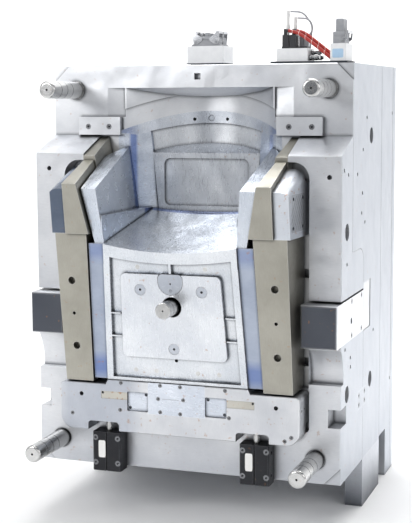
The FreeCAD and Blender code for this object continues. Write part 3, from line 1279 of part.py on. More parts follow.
def small_hood():
    """Housing on the small box, with a narrower upper part."""
    x0, x1 = SMALL_BOX_X + 7, SMALL_BOX_X + SMALL_BOX_W - 7
    y0, y1 = small_hood_run()
    base = PLATE_H + BOX_FEET + SMALL_BOX_H
    lower = box(x0, x1, y0, y1, base, base + 40)
    lower = fillet_near(lower, 5.0, lambda mid, edge: mid.z > base + 39)
    upper = box(x0 + 8, x1 - 6, y0 + 8, y1 - 8, base + 39, base + 84)
    upper = fillet_near(upper, 6.0, lambda mid, edge: mid.z > base + 83)
    studs = cyl_y(small_pivot_x(), small_pivot_z(), LEVER_PIN_D, y0 - STUD_L, y1 + STUD_L)
    return lower.fuse([upper, studs]).cut(box(x0 - 1, x1 + 1, y0 - 1, y0 + 1.5, base + 24, base + 26))


def small_hood_run():
    return (TRAY_Y + 14, TRAY_Y + 14 + 70.0)


def small_pivot_x():
    return SMALL_BOX_X + SMALL_BOX_W - 13.0


def small_pivot_z():
    return PLATE_H + BOX_FEET + SMALL_BOX_H + 14.0


def connector_housings():
    return [hood(y) for y in hood_starts()] + [small_hood()]


def lever(x, z, y, side, outline, bar, length):
    """Locking lever: two plates on the housing's pivot studs, joined by a bar."""
    points = [(x + side * px, z + pz) for px, pz in outline]
    pieces = []
    for y0 in (y - GAP - LEVER_T, y + length + GAP):
        plate = front_outline(points, y0, y0 + LEVER_T)
        pieces.append(plate.cut(cyl_y(x, z, LEVER_PIN_D + 2 * RUN_FIT, y0 - 1, y0 + LEVER_T + 1)))
    x0, x1 = sorted((x + side * bar[0], x + side * bar[1]))
    cross = box(x0, x1, y - GAP - LEVER_T, y + length + GAP + LEVER_T, z + bar[2], z + bar[3])
    return [pieces[0].fuse([cross, pieces[1]])]


def housing_lever(y, side):
    outline = [(-26, 12), (-22, 4), (-6, -7), (7, -7), (11, 14), (12, 38), (2, 38), (-4, 28)]
    return lever(hood_x() + side * LEVER_PIVOT, pivot_z(), y, side, outline, (2, 12, 30, 38), HOOD_L)


def hood_lever():
    outline = [(-6, -6), (6, -6), (15, 0), (18, 30), (13, 30), (10, 8), (0, 7)]
    y0, y1 = small_hood_run()
    return lever(small_pivot_x(), small_pivot_z(), y0, 1, outline, (13, 18, 20, 30), y1 - y0)


def wiring_tray():
    base = PLATE_H + BOX_FEET - TRAY_T
    tray = box(TRAY_X, TRAY_X + TRAY_W, TRAY_Y, TRAY_Y + TRAY_L, base, base + TRAY_T)
    feet = []
    for block in foot_blocks(TRAY_X + 20, TRAY_X + TRAY_W - 10, TRAY_Y, TRAY_Y + TRAY_L):
        feet.append(block.common(box(-FAR, FAR, -FAR, FAR, 0, base)))
    plate = box(BOX_X - 2, BOX_X + BOX_W + 2, BOX_Y - 2, BOX_Y + BOX_L + 2, base + TRAY_T - 3, base + TRAY_T)
    for block in foot_blocks(BOX_X, BOX_X + BOX_W, BOX_Y, BOX_Y + BOX_L):
        feet.append(block.common(box(-FAR, FAR, -FAR, FAR, 0, base + TRAY_T - 3)))
    return [tray, plate] + feet


def manifold_top():
    return PLATE_H + BOX_FEET + MANIFOLD_H


def manifold():
    block = box(MANIFOLD_X, MANIFOLD_X + MANIFOLD_W, TRAY_Y + 5, TRAY_Y + 5 + MANIFOLD_L, PLATE_H + BOX_FEET,
                manifold_top())
    return [fillet_near(block, 2.0, lambda mid, edge: is_along(edge, 2))]


def valve_y():
    return TRAY_Y + 10


def black_valves():
    """Two valve bodies on a slim sub-base, each with an elbow for its hose."""
    y0, base = valve_y(), manifold_top()
    pieces = [box(VALVE_X - 2, VALVE_X + 2 * VALVE_PITCH + 36, y0, y0 + VALVE_L, base, base + 6)]
    for index in range(2):
        x0 = VALVE_X + index * VALVE_PITCH
        body = box(x0, x0 + VALVE_W, y0, y0 + VALVE_L, base + 6, base + VALVE_H)
        body = fillet_near(body, 3.0, lambda mid, edge: is_along(edge, 1) and mid.z > base + VALVE_H - 1)
        post = cyl_z(x0 + 9, elbow_y(index), HOSE_D, base + VALVE_H - 4, hose_z() + HOSE_D / 2)
        spout = cyl_x(elbow_y(index), hose_z(), HOSE_D, x0 + 9, hose_start(index))
        pieces.append(body.fuse([post, spout]))
    return pieces


def elbow_y(index):
    return valve_y() + 7 + index * ELBOW_PITCH


def hose_start(index):
    return VALVE_X + index * VALVE_PITCH + 20


def hose_z():
    return manifold_top() + VALVE_H + 14


def grey_valves():
    y0, base = valve_y() + GREY_VALVE_SET, manifold_top()
    return [box(x0, x0 + GREY_VALVE_W, y0, y0 + GREY_VALVE_L, base + 6, base + VALVE_H - 2)
            for x0 in grey_valve_starts()]


def grey_valve_starts():
    first = VALVE_X + 2 * VALVE_PITCH
    return (first, first + 17.0)


def fitting_x(index):
    return VALVE_X + VALVE_W / 2 + index * VALVE_PITCH


def port_z(index):
    return manifold_top() + VALVE_H + FITTING_HEIGHTS[index] - PORT_DROP


def white_fittings():
    """Push-in fittings on the two black valves, each with a short side port near its top."""
    base = manifold_top() + VALVE_H
    pieces = []
    for index, height in enumerate(FITTING_HEIGHTS):
        x, y = fitting_x(index), valve_y() + FITTING_SET
        stem = cyl_z(x, y, 11.0, base, base + height)
        upper = base + height - 20
        rings = [cyl_z(x, y, 14.0, base + 23, base + 35), cyl_z(x, y, 14.0, upper, upper + 8)]
        port = cyl_x(y, port_z(index), 7.0, x, x + 10)
        pieces.append(stem.fuse(rings + [port]))
    return pieces


def quick_couplings():
    """Three quick couplings on the manifold's right end."""
    x0 = MANIFOLD_X + MANIFOLD_W
    pieces = []
    for y, z in ((TRAY_Y + 22, 12.0), (TRAY_Y + 52, 30.0), (TRAY_Y + 76, 14.0)):
        height = PLATE_H + BOX_FEET + z
        body = cyl_x(y, height, 14.0, x0, x0 + 38)
        collars = [cyl_x(y, height, 19.0, x0 + 2, x0 + 10), cyl_x(y, height, 20.0, x0 + 20, x0 + 32)]
        pieces.append(body.fuse(collars))
    return pieces


def red_hoses():
    """Two hoses from the valve elbows, over the couplings and into the small box's side."""
    base = PLATE_H + BOX_FEET
    runs = [((38.0, -9.0), (89.0, -46.0), (157.0, -100.0)), ((27.0, -7.0), (68.0, -38.0), (131.0, -88.0))]
    hoses = []
    for index, run in enumerate(runs):
        x, y, z = hose_start(index), elbow_y(index), hose_z()
        points = [(x - 4, y, z + 1)] + [(x + along, y, z + drop) for along, drop in run]
        free = box(x, SMALL_BOX_X, -FAR, FAR, base, FAR)
        hoses.append(hose(points, HOSE_D).common(free))
    return hoses


def grey_tubes():
    """Two limp tubes that loop from the white fittings' ports to the back of the manifold."""
    runs = [((38.0, 16.5, -1.0), (67.0, 38.5, -46.0), (60.0, 42.5, -90.0), (57.0, 42.5, -130.0)),
            ((39.0, 2.5, -3.0), (49.0, 18.5, -38.0), (25.0, 24.5, -69.0), (22.0, 24.5, -108.0))]
    tubes = []
    for index, run in enumerate(runs):
        x, y, z = fitting_x(index) + 10, valve_y() + FITTING_SET, port_z(index)
        points = [(x - 3, y, z)] + [(x + along, y + back, z + drop) for along, back, drop in run]
        free = box(x, FAR, -FAR, FAR, manifold_top(), FAR)
        tubes.append(hose(points, TUBE_D).common(free))
    return tubes


# ---- Output -------------------------------------------------------------------------

def export(name, shapes):
    """Writes one piece, or one group of like pieces, moved to the shared frame."""
    group = Part.makeCompound(shapes) if len(shapes) > 1 else shapes[0].copy()
    group.translate(V(0, -ORIGIN_Y, FOOT_H))
    group.exportStep(os.path.join("parts", name + ".step"))


def pair(name, shape):
    export("right_" + name, [shape])
    export("left_" + name, [mirrored(shape)])


def export_frame():
    export("front_plate", [front_plate()])
    export("support_plate", [support_plate()])
    export("clamp_plate", [clamp_plate()])
    export("front_feet", feet())
    pair("rail", spacer_rail())
    pillars = [guide_pillar(PILLAR_LOW_Z, 0), collared_pillar(PILLAR_TOP_Z, TOP_FACE_Y)]
    export("guide_pillars", pillars + [mirrored(pillar) for pillar in pillars])
    pair("interlock", interlock())
    export("tie_plates", both(keeper()) + both(strap()))
    export("cap_screws", cap_screws())


def export_core():
    export("seat_core", seat_core())
    export("front_panel", front_panel())
    export("panel_plugs", panel_plugs())
    export("d_insert", d_insert())
    export("core_strips", both(core_strip()))
    pair("arm_core", arm_core())
    export("top_blocks", both(top_block()))
    export("back_insert", back_insert())
    export("arch_insert", arch_insert())
    export("back_pillars", both(back_pillar()))


def export_slides():
    pair("side_rail", side_rail())
    pair("arm_wedge", arm_wedge())
    pair("arm_cheek", arm_cheek())
    pair("wear_plate", wear_plate())
    export("bottom_slide", bottom_slide())
    export("slide_center_plate", slide_center_plate())
    export("slide_inserts", both(slide_insert()))
    export("slide_bars", both(slide_bar()))
    export("slide_screws", slide_screws())
    export("piston_rods", both(piston_rod()))
    pair("cylinder", cylinder())
    export("cylinder_screws", cylinder_screws())


def export_ejector():
    export("ejector_guide_pins", ejector_guides())
    export("ejector_plate", ejector_plate())
    export("ejector_retainer", retainer())
    export("ejector_pins", ejector_pins())
    export("center_pin", center_pin())
    export("center_pin_bush", pin_bush())


def export_services():
    export("junction_boxes", junction_boxes())
    export("connector_housings", connector_housings())
    for where, y in zip(("front", "rear"), hood_starts()):
        export(where + "_left_lever", housing_lever(y, -1))
        export(where + "_right_lever", housing_lever(y, 1))
    export("hood_lever", hood_lever())
    export("wiring_tray", wiring_tray())
    export("manifold", manifold())
    export("black_valves", black_valves())
    export("grey_valves", grey_valves())
    export("white_fittings", white_fittings())
    export("quick_couplings", quick_couplings())
    export("red_hoses", red_hoses())
    export("grey_tubes", grey_tubes())


os.makedirs("parts", exist_ok=True)
export_frame()
export_core()
export_slides()
export_ejector()
export_services()
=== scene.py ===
# %% [markdown]
# Moving half of an injection mould for an armchair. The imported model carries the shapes; this
# script gives every piece its finish and adds the small pieces that lie on the steel.
# Lengths are in metres: X to the right, Y away from the parting face, Z up from the floor.

# %% Load the frame
import json
import math

import bpy
import numpy as np
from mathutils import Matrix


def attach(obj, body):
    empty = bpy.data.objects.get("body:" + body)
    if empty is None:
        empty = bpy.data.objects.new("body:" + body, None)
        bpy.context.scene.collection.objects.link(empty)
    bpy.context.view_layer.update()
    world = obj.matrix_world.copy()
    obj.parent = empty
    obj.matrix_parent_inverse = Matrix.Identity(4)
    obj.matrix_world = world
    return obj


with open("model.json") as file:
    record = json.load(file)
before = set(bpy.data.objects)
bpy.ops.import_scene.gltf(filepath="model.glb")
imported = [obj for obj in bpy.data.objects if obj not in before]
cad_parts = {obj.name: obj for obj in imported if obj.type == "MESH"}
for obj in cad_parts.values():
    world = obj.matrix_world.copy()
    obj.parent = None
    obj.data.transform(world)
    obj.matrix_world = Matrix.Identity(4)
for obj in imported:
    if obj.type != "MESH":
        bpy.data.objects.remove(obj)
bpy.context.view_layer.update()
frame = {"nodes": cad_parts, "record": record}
nodes = frame["nodes"]

# %% [markdown]
# Where the mould's own drawing lies in the frame: its plates stand 0.175 above the floor, and its
# parting face, depth zero in the drawing, lies 0.327 in front of the frame's middle.

# %% Shared places
PLATE_Z = 0.175
FACE_Y = -0.327


def place(x, y, z):
    """A point of the mould's own drawing, given in millimetres, in the frame in metres."""
    return (x / 1000, y / 1000 + FACE_Y, z / 1000 + PLATE_Z)


print("parting face at", FACE_Y)

# %% [markdown]
# Shader groups. Machined steel shows three things at this distance: fine parallel lines from the
# grinding wheel or the mill, broad cloudy changes of tone where oil and handling have dulled it,
# and small specks of rust. Each is one group, so that every metal uses the same recipe with its
# own direction and scale. Object coordinates keep the marks at their true size on each piece.

# %% Group helpers
def new_group(name, inputs, outputs):
    """An empty shader group with named float or vector sockets, and its two end nodes."""
    group = bpy.data.node_groups.new(name, "ShaderNodeTree")
    for label, kind, value in inputs:
        socket = group.interface.new_socket(name=label, in_out="INPUT", socket_type=kind)
        socket.default_value = value
    for label in outputs:
        group.interface.new_socket(name=label, in_out="OUTPUT", socket_type="NodeSocketFloat")
    return group, group.nodes.new("NodeGroupInput"), group.nodes.new("NodeGroupOutput")


def add(tree, kind, inputs=(), **settings):
    """A node with its settings; inputs maps a socket to a value or to another node's output."""
    node = tree.nodes.new(kind)
    for key, value in settings.items():
        setattr(node, key, value)
    for key, value in dict(inputs).items():
        if isinstance(value, bpy.types.NodeSocket):
            tree.links.new(value, node.inputs[key])
        else:
            node.inputs[key].default_value = value
    return node


FLOAT, VECTOR = "NodeSocketFloat", "NodeSocketVector"
print("group sockets:", FLOAT, VECTOR)

# %% [markdown]
# Tool marks are noise that is squeezed along one direction, so that its blobs become lines.
# Clouds are the same noise at its natural shape and a large scale, and rust specks are only the
# peaks of a small one. Noise is chosen over drawn lines because no two strokes of a tool match.

# %% Marks, clouds and specks
FINE_UPRIGHT = (40, 40, 900)
CLOUD_ROUGHNESS = 0.6
CLOUD_LOW, CLOUD_HIGH = 0.35, 0.65
SPECK_CONTRAST = 14.0


def make_grain():
    """Noise stretched along one direction, as parallel tool marks."""
    group, ends, out = new_group("tool_marks", [("Stretch", VECTOR, FINE_UPRIGHT)], ["Value"])
    place_node = add(group, "ShaderNodeTexCoord")
    scaled = add(group, "ShaderNodeVectorMath",
                 {0: place_node.outputs["Object"], 1: ends.outputs["Stretch"]}, operation="MULTIPLY")
    noise = add(group, "ShaderNodeTexNoise", {"Vector": scaled.outputs[0], "Scale": 1.0, "Detail": 3.0})
    group.links.new(noise.outputs["Fac"], out.inputs["Value"])
    return group


def make_clouds():
    """Broad soft blotches, spread to the full range of 0 to 1."""
    group, ends, out = new_group("clouds", [("Scale", FLOAT, 6.0), ("Detail", FLOAT, 5.0)], ["Value"])
    place_node = add(group, "ShaderNodeTexCoord")
    noise = add(group, "ShaderNodeTexNoise",
                {"Vector": place_node.outputs["Object"], "Scale": ends.outputs["Scale"],
                 "Detail": ends.outputs["Detail"], "Roughness": CLOUD_ROUGHNESS})
    spread = add(group, "ShaderNodeMapRange", {"Value": noise.outputs["Fac"], "From Min": CLOUD_LOW,
                                               "From Max": CLOUD_HIGH})
    group.links.new(spread.outputs["Result"], out.inputs["Value"])
    return group


def make_specks():
    """Sparse small spots: only the highest peaks of a fine noise."""
    group, ends, out = new_group("specks", [("Scale", FLOAT, 60.0), ("Level", FLOAT, 0.68)], ["Value"])
    place_node = add(group, "ShaderNodeTexCoord")
    noise = add(group, "ShaderNodeTexNoise", {"Vector": place_node.outputs["Object"],
                                              "Scale": ends.outputs["Scale"], "Detail": 2.0})
    over = add(group, "ShaderNodeMath", {0: noise.outputs["Fac"], 1: ends.outputs["Level"]},
               operation="SUBTRACT")
    sharp = add(group, "ShaderNodeMath", {0: over.outputs[0], 1: SPECK_CONTRAST},
                operation="MULTIPLY", use_clamp=True)
    group.links.new(sharp.outputs[0], out.inputs["Value"])
    return group


GROUPS = {"marks": make_grain(), "clouds": make_clouds(), "specks": make_specks()}
print("noise groups:", sorted(GROUPS))

# %% [markdown]
# A line of spotting dye or a shaded end lies between two planes. The group measures how far a
# point is along a direction, and lets the tint in between a low and a high distance.

# %% Zones between two planes
def make_slab():
    """1 between two planes across a direction, with soft ends: dye lines and shaded zones."""
    group, ends, out = new_group("slab", [("Direction", VECTOR, (0, 0, 1)), ("Low", FLOAT, 0.0),
                                          ("High", FLOAT, 1.0), ("Soft", FLOAT, 0.01)], ["Value"])
    place_node = add(group, "ShaderNodeTexCoord")
    along = add(group, "ShaderNodeVectorMath", {0: place_node.outputs["Object"],
                                                1: ends.outputs["Direction"]}, operation="DOT_PRODUCT")
    halves = []
    for name, first, second in (("Low", along.outputs["Value"], ends.outputs["Low"]),
                                ("High", ends.outputs["High"], along.outputs["Value"])):
        gap = add(group, "ShaderNodeMath", {0: first, 1: second}, operation="SUBTRACT", label=name)
        halves.append(add(group, "ShaderNodeMath", {0: gap.outputs[0], 1: ends.outputs["Soft"]},
                          operation="DIVIDE", use_clamp=True).outputs[0])
    both_sides = add(group, "ShaderNodeMath", {0: halves[0], 1: halves[1]}, operation="MULTIPLY")
    group.links.new(both_sides.outputs[0], out.inputs["Value"])
    return group


GROUPS["slab"] = make_slab()
print("zone group:", GROUPS["slab"].name)

# %% [markdown]
# Outer edges get a painted edge tone, a painted highlight on most finishes, and joints and recesses
# get painted shade. The first group compares the true face direction with a rounded one, which differ
# only near an edge. The second measures how closed in a point is. Both follow the shape by
# themselves, so nothing is painted by hand.

# %% Edges and corners
EDGE_FIRST, EDGE_FULL = 0.995, 0.85


def make_edges():
    """1 on sharp outer edges, where a painted edge tone is laid, a painted highlight on most finishes."""
    group, ends, out = new_group("painted_edge_tone", [("Radius", FLOAT, 0.003)], ["Value"])
    rounded = add(group, "ShaderNodeBevel", {"Radius": ends.outputs["Radius"]}, samples=4)
    flat = add(group, "ShaderNodeNewGeometry")
    dot = add(group, "ShaderNodeVectorMath", {0: rounded.outputs[0], 1: flat.outputs["Normal"]},
              operation="DOT_PRODUCT")
    turned = add(group, "ShaderNodeMapRange", {"Value": dot.outputs["Value"], "From Min": EDGE_FIRST,
                                               "From Max": EDGE_FULL})
    group.links.new(turned.outputs["Result"], out.inputs["Value"])
    return group


def make_corners():
    """1 deep in corners and joints, where painted shade is laid; 0 on open faces."""
    group, ends, out = new_group("painted_corner_shade", [("Reach", FLOAT, 0.02), ("Sharpness", FLOAT, 1.6)],
                                 ["Value"])
    shade = add(group, "ShaderNodeAmbientOcclusion", {"Distance": ends.outputs["Reach"]}, samples=16)
    closed = add(group, "ShaderNodeMath", {0: 1.0, 1: shade.outputs["AO"]}, operation="SUBTRACT")
    strong = add(group, "ShaderNodeMath", {0: closed.outputs[0], 1: ends.outputs["Sharpness"]},
                 operation="MULTIPLY", use_clamp=True)
    group.links.new(strong.outputs[0], out.inputs["Value"])
    return group


GROUPS["edges"] = make_edges()
GROUPS["corners"] = make_corners()
print("shader groups:", sorted(GROUPS))

# %% [markdown]
# A finish is built as a chain of colour mixes, each one laying a new effect over the last. These
# two helpers place a group in a material and lay one colour over another.

# %% Colour chain helpers
def use_group(tree, name, inputs=()):
    """Place a shader group with its own values; the result is its output socket."""
    node = add(tree, "ShaderNodeGroup", node_tree=GROUPS[name])
    for key, value in dict(inputs).items():
        node.inputs[key].default_value = value
    return node.outputs["Value"]


def mix(tree, amount, first, second, strength=1.0):
    """Colour mix; a colour may be given as three numbers or as a socket."""
    if strength != 1.0:
        amount = add(tree, "ShaderNodeMath", {0: amount, 1: strength}, operation="MULTIPLY").outputs[0]
    node = add(tree, "ShaderNodeMix", data_type="RGBA")
    tree.links.new(amount, node.inputs["Factor"])
    for key, value in (("A", first), ("B", second)):
        socket = next(s for s in node.inputs if s.name == key and s.type == "RGBA")
        if isinstance(value, bpy.types.NodeSocket):
            tree.links.new(value, socket)
        else:
            socket.default_value = (*value, 1.0)
    return next(s for s in node.outputs if s.type == "RGBA")


print("colour helpers ready for", len(GROUPS), "groups")

# %% [markdown]
# One recipe makes every metal: a base colour and a second, dirtier colour mixed by the clouds,
# tool marks in colour, roughness and bump, rust specks, painted shade in creases and recesses, a
# painted edge tone that is a highlight on most finishes, and extra tinted zones. One recipe with
# many values is chosen over a material made by hand for each piece, because all of this steel is
# cut and ground in the same ways.

# %% Metal recipe
RUST = (0.42, 0.20, 0.08)
DYE = (0.10, 0.17, 0.42)
# Painted highlight colour for sharp outer edges.
EDGE_HIGHLIGHT = (0.9, 0.9, 0.92)
METAL_CLOUDS = {"Scale": 5.0}
CLOUD_STRENGTH = 0.6
LINE_TONE, LINE_STRENGTH = 0.8, 0.35
# Painted shade: how dark, and how strongly, creases and wider recesses are darkened.
SHADE_TONE, CREASE_SHADE_STRENGTH = 0.25, 0.9
CREASE_SHADE = {"Reach": 0.012, "Sharpness": 2.2}
DEPTH_SHADE = {"Reach": 0.10, "Sharpness": 1.0}
EDGE_TONE_STRENGTH = 0.35
SMOOTHEST, ROUGHEST = 0.75, 1.3
SWELL = {"Scale": 7.0, "Detail": 1.5}
SWELL_STRENGTH = 0.35
MARK_DEPTH = 0.0004


def metal(name, clean, dull, rough=0.35, metallic=0.9, marks=FINE_UPRIGHT, rust=0.4, rust_level=0.68,
          bump=0.08, zones=(), edge=EDGE_HIGHLIGHT, waviness=0.006, depth_shade=0.45):
    """Machined metal. zones are (direction, low, high, soft, colour, strength) slabs of tint."""
    material = bpy.data.materials.new(name)
    material.use_nodes = True
    tree = material.node_tree
    shader = tree.nodes["Principled BSDF"]
    colour = mix(tree, use_group(tree, "clouds", METAL_CLOUDS), clean, dull, CLOUD_STRENGTH)
    lines = use_group(tree, "marks", {"Stretch": marks})
    colour = mix(tree, lines, colour, tuple(LINE_TONE * c for c in dull), LINE_STRENGTH)
    for direction, low, high, soft, tint, strength in zones:
        zone = use_group(tree, "slab", {"Direction": direction, "Low": low, "High": high, "Soft": soft})
        colour = mix(tree, zone, colour, tint, strength)
    if rust:
        colour = mix(tree, use_group(tree, "specks", {"Level": rust_level}), colour, RUST, rust)
    # Painted shade: creases, then wider recesses, are darkened toward a dark copy of the dull colour.
    shade_colour = tuple(SHADE_TONE * c for c in dull)
    colour = mix(tree, use_group(tree, "corners", CREASE_SHADE), colour, shade_colour, CREASE_SHADE_STRENGTH)
    colour = mix(tree, use_group(tree, "corners", DEPTH_SHADE), colour, shade_colour, depth_shade)
    # Painted edge tone: a painted highlight, except where a finish passes a darker edge colour.
    colour = mix(tree, use_group(tree, "edges"), colour, edge, EDGE_TONE_STRENGTH)
    tree.links.new(colour, shader.inputs["Base Color"])
    spread = add(tree, "ShaderNodeMapRange", {"Value": lines, "To Min": rough * SMOOTHEST,
                                              "To Max": rough * ROUGHEST})
    tree.links.new(spread.outputs["Result"], shader.inputs["Roughness"])
    swell = use_group(tree, "clouds", SWELL)
    wavy = add(tree, "ShaderNodeBump", {"Height": swell, "Strength": SWELL_STRENGTH, "Distance": waviness})
    lift = add(tree, "ShaderNodeBump", {"Height": lines, "Strength": bump, "Distance": MARK_DEPTH,
                                        "Normal": wavy.outputs["Normal"]})
    tree.links.new(lift.outputs["Normal"], shader.inputs["Normal"])
    shader.inputs["Metallic"].default_value = metallic
    return material


print("tool marks are", MARK_DEPTH, "deep")

# %% [markdown]
# Plastic, rubber and paint have no tool marks: they need a soft change of tone and a fine pebbled
# bump. The hoses' printed bands are a wave along X, of which only the crests are kept.

# %% Plastic and paint recipe
PLASTIC_CLOUDS = 30.0
TONE_STRENGTH = 0.5
PEBBLES = 20 * PLASTIC_CLOUDS
PEBBLE_DEPTH = 0.0003


def moulded(name, colour, dark, rough=0.45, bands=None, bump=0.05):
    """Plastic, rubber or paint: soft colour change, fine pebbled bump, and optional printed bands."""
    material = bpy.data.materials.new(name)
    material.use_nodes = True
    tree = material.node_tree
    shader = tree.nodes["Principled BSDF"]
    clouds = use_group(tree, "clouds", {"Scale": PLASTIC_CLOUDS})
    tone = mix(tree, clouds, colour, dark, TONE_STRENGTH)
    if bands:
        pitch, tint, level = bands
        spot = add(tree, "ShaderNodeTexCoord")
        wave = add(tree, "ShaderNodeTexWave", {"Vector": spot.outputs["Object"], "Scale": pitch},
                   bands_direction="X", wave_profile="SIN")
        over = add(tree, "ShaderNodeMath", {0: wave.outputs["Fac"], 1: level}, operation="GREATER_THAN")
        tone = mix(tree, over.outputs[0], tone, tint)
    tree.links.new(tone, shader.inputs["Base Color"])
    shader.inputs["Roughness"].default_value = rough
    pebbles = use_group(tree, "clouds", {"Scale": PEBBLES})
    lift = add(tree, "ShaderNodeBump", {"Height": pebbles, "Strength": bump, "Distance": PEBBLE_DEPTH})
    tree.links.new(lift.outputs["Normal"], shader.inputs["Normal"])
    return material


print("pebbles are", PEBBLE_DEPTH, "deep")

# %% [markdown]
# The finish of each material slot. Milled plates, the polished core and the tan rails differ in
# colour, gloss and the direction of their marks. The plate steel has painted shade toward the floor,
# and its last zone paints shade on the plates' right-hand face; that of the dark steel blackens the
# interlocks' fronts.

# %% Finishes of the slots
X_AXIS, Y_AXIS, Z_AXIS = (1, 0, 0), (0, 1, 0), (0, 0, 1)
SILVER, SILVER_DULL = (0.80, 0.81, 0.83), (0.55, 0.57, 0.61)
TAN, TAN_DULL = (0.45, 0.435, 0.385), (0.29, 0.28, 0.24)
SLATE = (0.16, 0.19, 0.25)
ACROSS, UPRIGHT, DEEP = (900, 60, 60), (60, 60, 900), (60, 900, 60)
CORE_MARKS, INSERT_MARKS = (300, 30, 30), (30, 30, 250)


def floor_shade(low, high, colour, strength):
    """Painted shade: a dark tint between two heights that fades over 0.10."""
    return (Z_AXIS, low, high, 0.10, colour, strength)


MATERIALS = {
    "plate_steel": metal("milled_plate_steel", SILVER, SILVER_DULL, 0.36, marks=UPRIGHT, rust=0.35,
                         depth_shade=0.3,
                         zones=[floor_shade(-0.2, 0.30, SLATE, 0.25),
                                # Painted shade on the plates' right-hand face.
                                (X_AXIS, 0.5485, 0.60, 0.001, (0.36, 0.39, 0.44), 0.75)]),
    "core_steel": metal("polished_core_steel", (0.80, 0.82, 0.85), (0.54, 0.57, 0.63), 0.28,
                        marks=CORE_MARKS, rust=0.5, rust_level=0.70, bump=0.03, depth_shade=0.2),
    "rail_steel": metal("ground_tan_steel", TAN, TAN_DULL, 0.38, marks=ACROSS, rust=0.3),
    "insert_steel": metal("fine_milled_insert", (0.74, 0.78, 0.85), (0.50, 0.55, 0.64), 0.28,
                          marks=INSERT_MARKS, bump=0.03, depth_shade=0.1,
                          zones=[(Z_AXIS, 1.04, 1.072, 0.008, DYE, 0.9)]),
    "dark_steel": metal("hardened_interlock_steel", SILVER, SILVER_DULL, 0.36, marks=UPRIGHT, rust=0.5,
                        zones=[(Y_AXIS, -0.50, -0.383, 0.003, (0.045, 0.052, 0.070), 0.93)]),
    "black_oxide": metal("black_oxide_steel", (0.035, 0.037, 0.042), (0.015, 0.015, 0.018), 0.45,
                         metallic=0.6, rust=0.15, edge=(0.25, 0.26, 0.28)),
    "pillar_steel": metal("ground_pillar_steel", (0.72, 0.72, 0.71), (0.44, 0.44, 0.44), 0.24,
                          metallic=1.0, waviness=0.0, marks=DEEP, rust=0.2, bump=0.03),
    "screw_steel": metal("screw_steel", (0.30, 0.31, 0.33), (0.09, 0.095, 0.105), 0.34, rust=0.2),
    "bronze": metal("oiled_bronze", (0.55, 0.42, 0.24), (0.33, 0.23, 0.12), 0.34, rust=0.0),
    "white_paint": moulded("white_painted_metal", (0.82, 0.83, 0.84), (0.70, 0.71, 0.73), 0.35),
    "die_cast": moulded("grey_die_cast", (0.33, 0.34, 0.36), (0.22, 0.23, 0.25), 0.5, bump=0.15),
    "lever_steel": metal("bright_lever_steel", (0.70, 0.71, 0.73), (0.42, 0.43, 0.46), 0.28, rust=0.0),
    "black_plastic": moulded("black_valve_plastic", (0.025, 0.026, 0.030), (0.012, 0.012, 0.014), 0.42),
    "grey_plastic": moulded("grey_tube_plastic", (0.34, 0.35, 0.37), (0.24, 0.25, 0.27), 0.4),
    "white_plastic": moulded("white_fitting_plastic", (0.78, 0.78, 0.77), (0.62, 0.62, 0.61), 0.4),
    "red_rubber": moulded("banded_red_hose", (0.42, 0.03, 0.022), (0.28, 0.018, 0.014), 0.4,
                          bands=(14.0, (0.75, 0.55, 0.52), 0.985)),
    "tray_steel": metal("dark_tray_steel", (0.11, 0.12, 0.14), (0.05, 0.055, 0.065), 0.5, rust=0.2,
                        edge=(0.4, 0.42, 0.45)),
    "coupling_steel": metal("plated_coupling", (0.62, 0.62, 0.63), (0.30, 0.31, 0.34), 0.24, rust=0.1),
}
print(len(MATERIALS), "finishes")

# %% [markdown]
# Some pieces differ from their slot's usual finish. The left cheek stands in shadow, so it is
# painted dark slate as painted shade, and the right one is silver; both have rust specks. The seat
# and its neighbours carry blue spotting dye, which a toolmaker rubs on to see where two faces
# touch. The bottom slide has a painted dark reflection on its left, and the front feet have painted
# shade toward the floor.

# %% Finishes of single pieces
def arm_steel(name, dye_strength):
    """The leaning arm cores: core steel with a dye line where they meet the back."""
    return metal(name, (0.70, 0.74, 0.80), (0.46, 0.51, 0.60), 0.28, marks=CORE_MARKS, bump=0.03,
                 rust=0.2, depth_shade=0.2, zones=[(Y_AXIS, -0.165, -0.08, 0.012, DYE, dye_strength)])


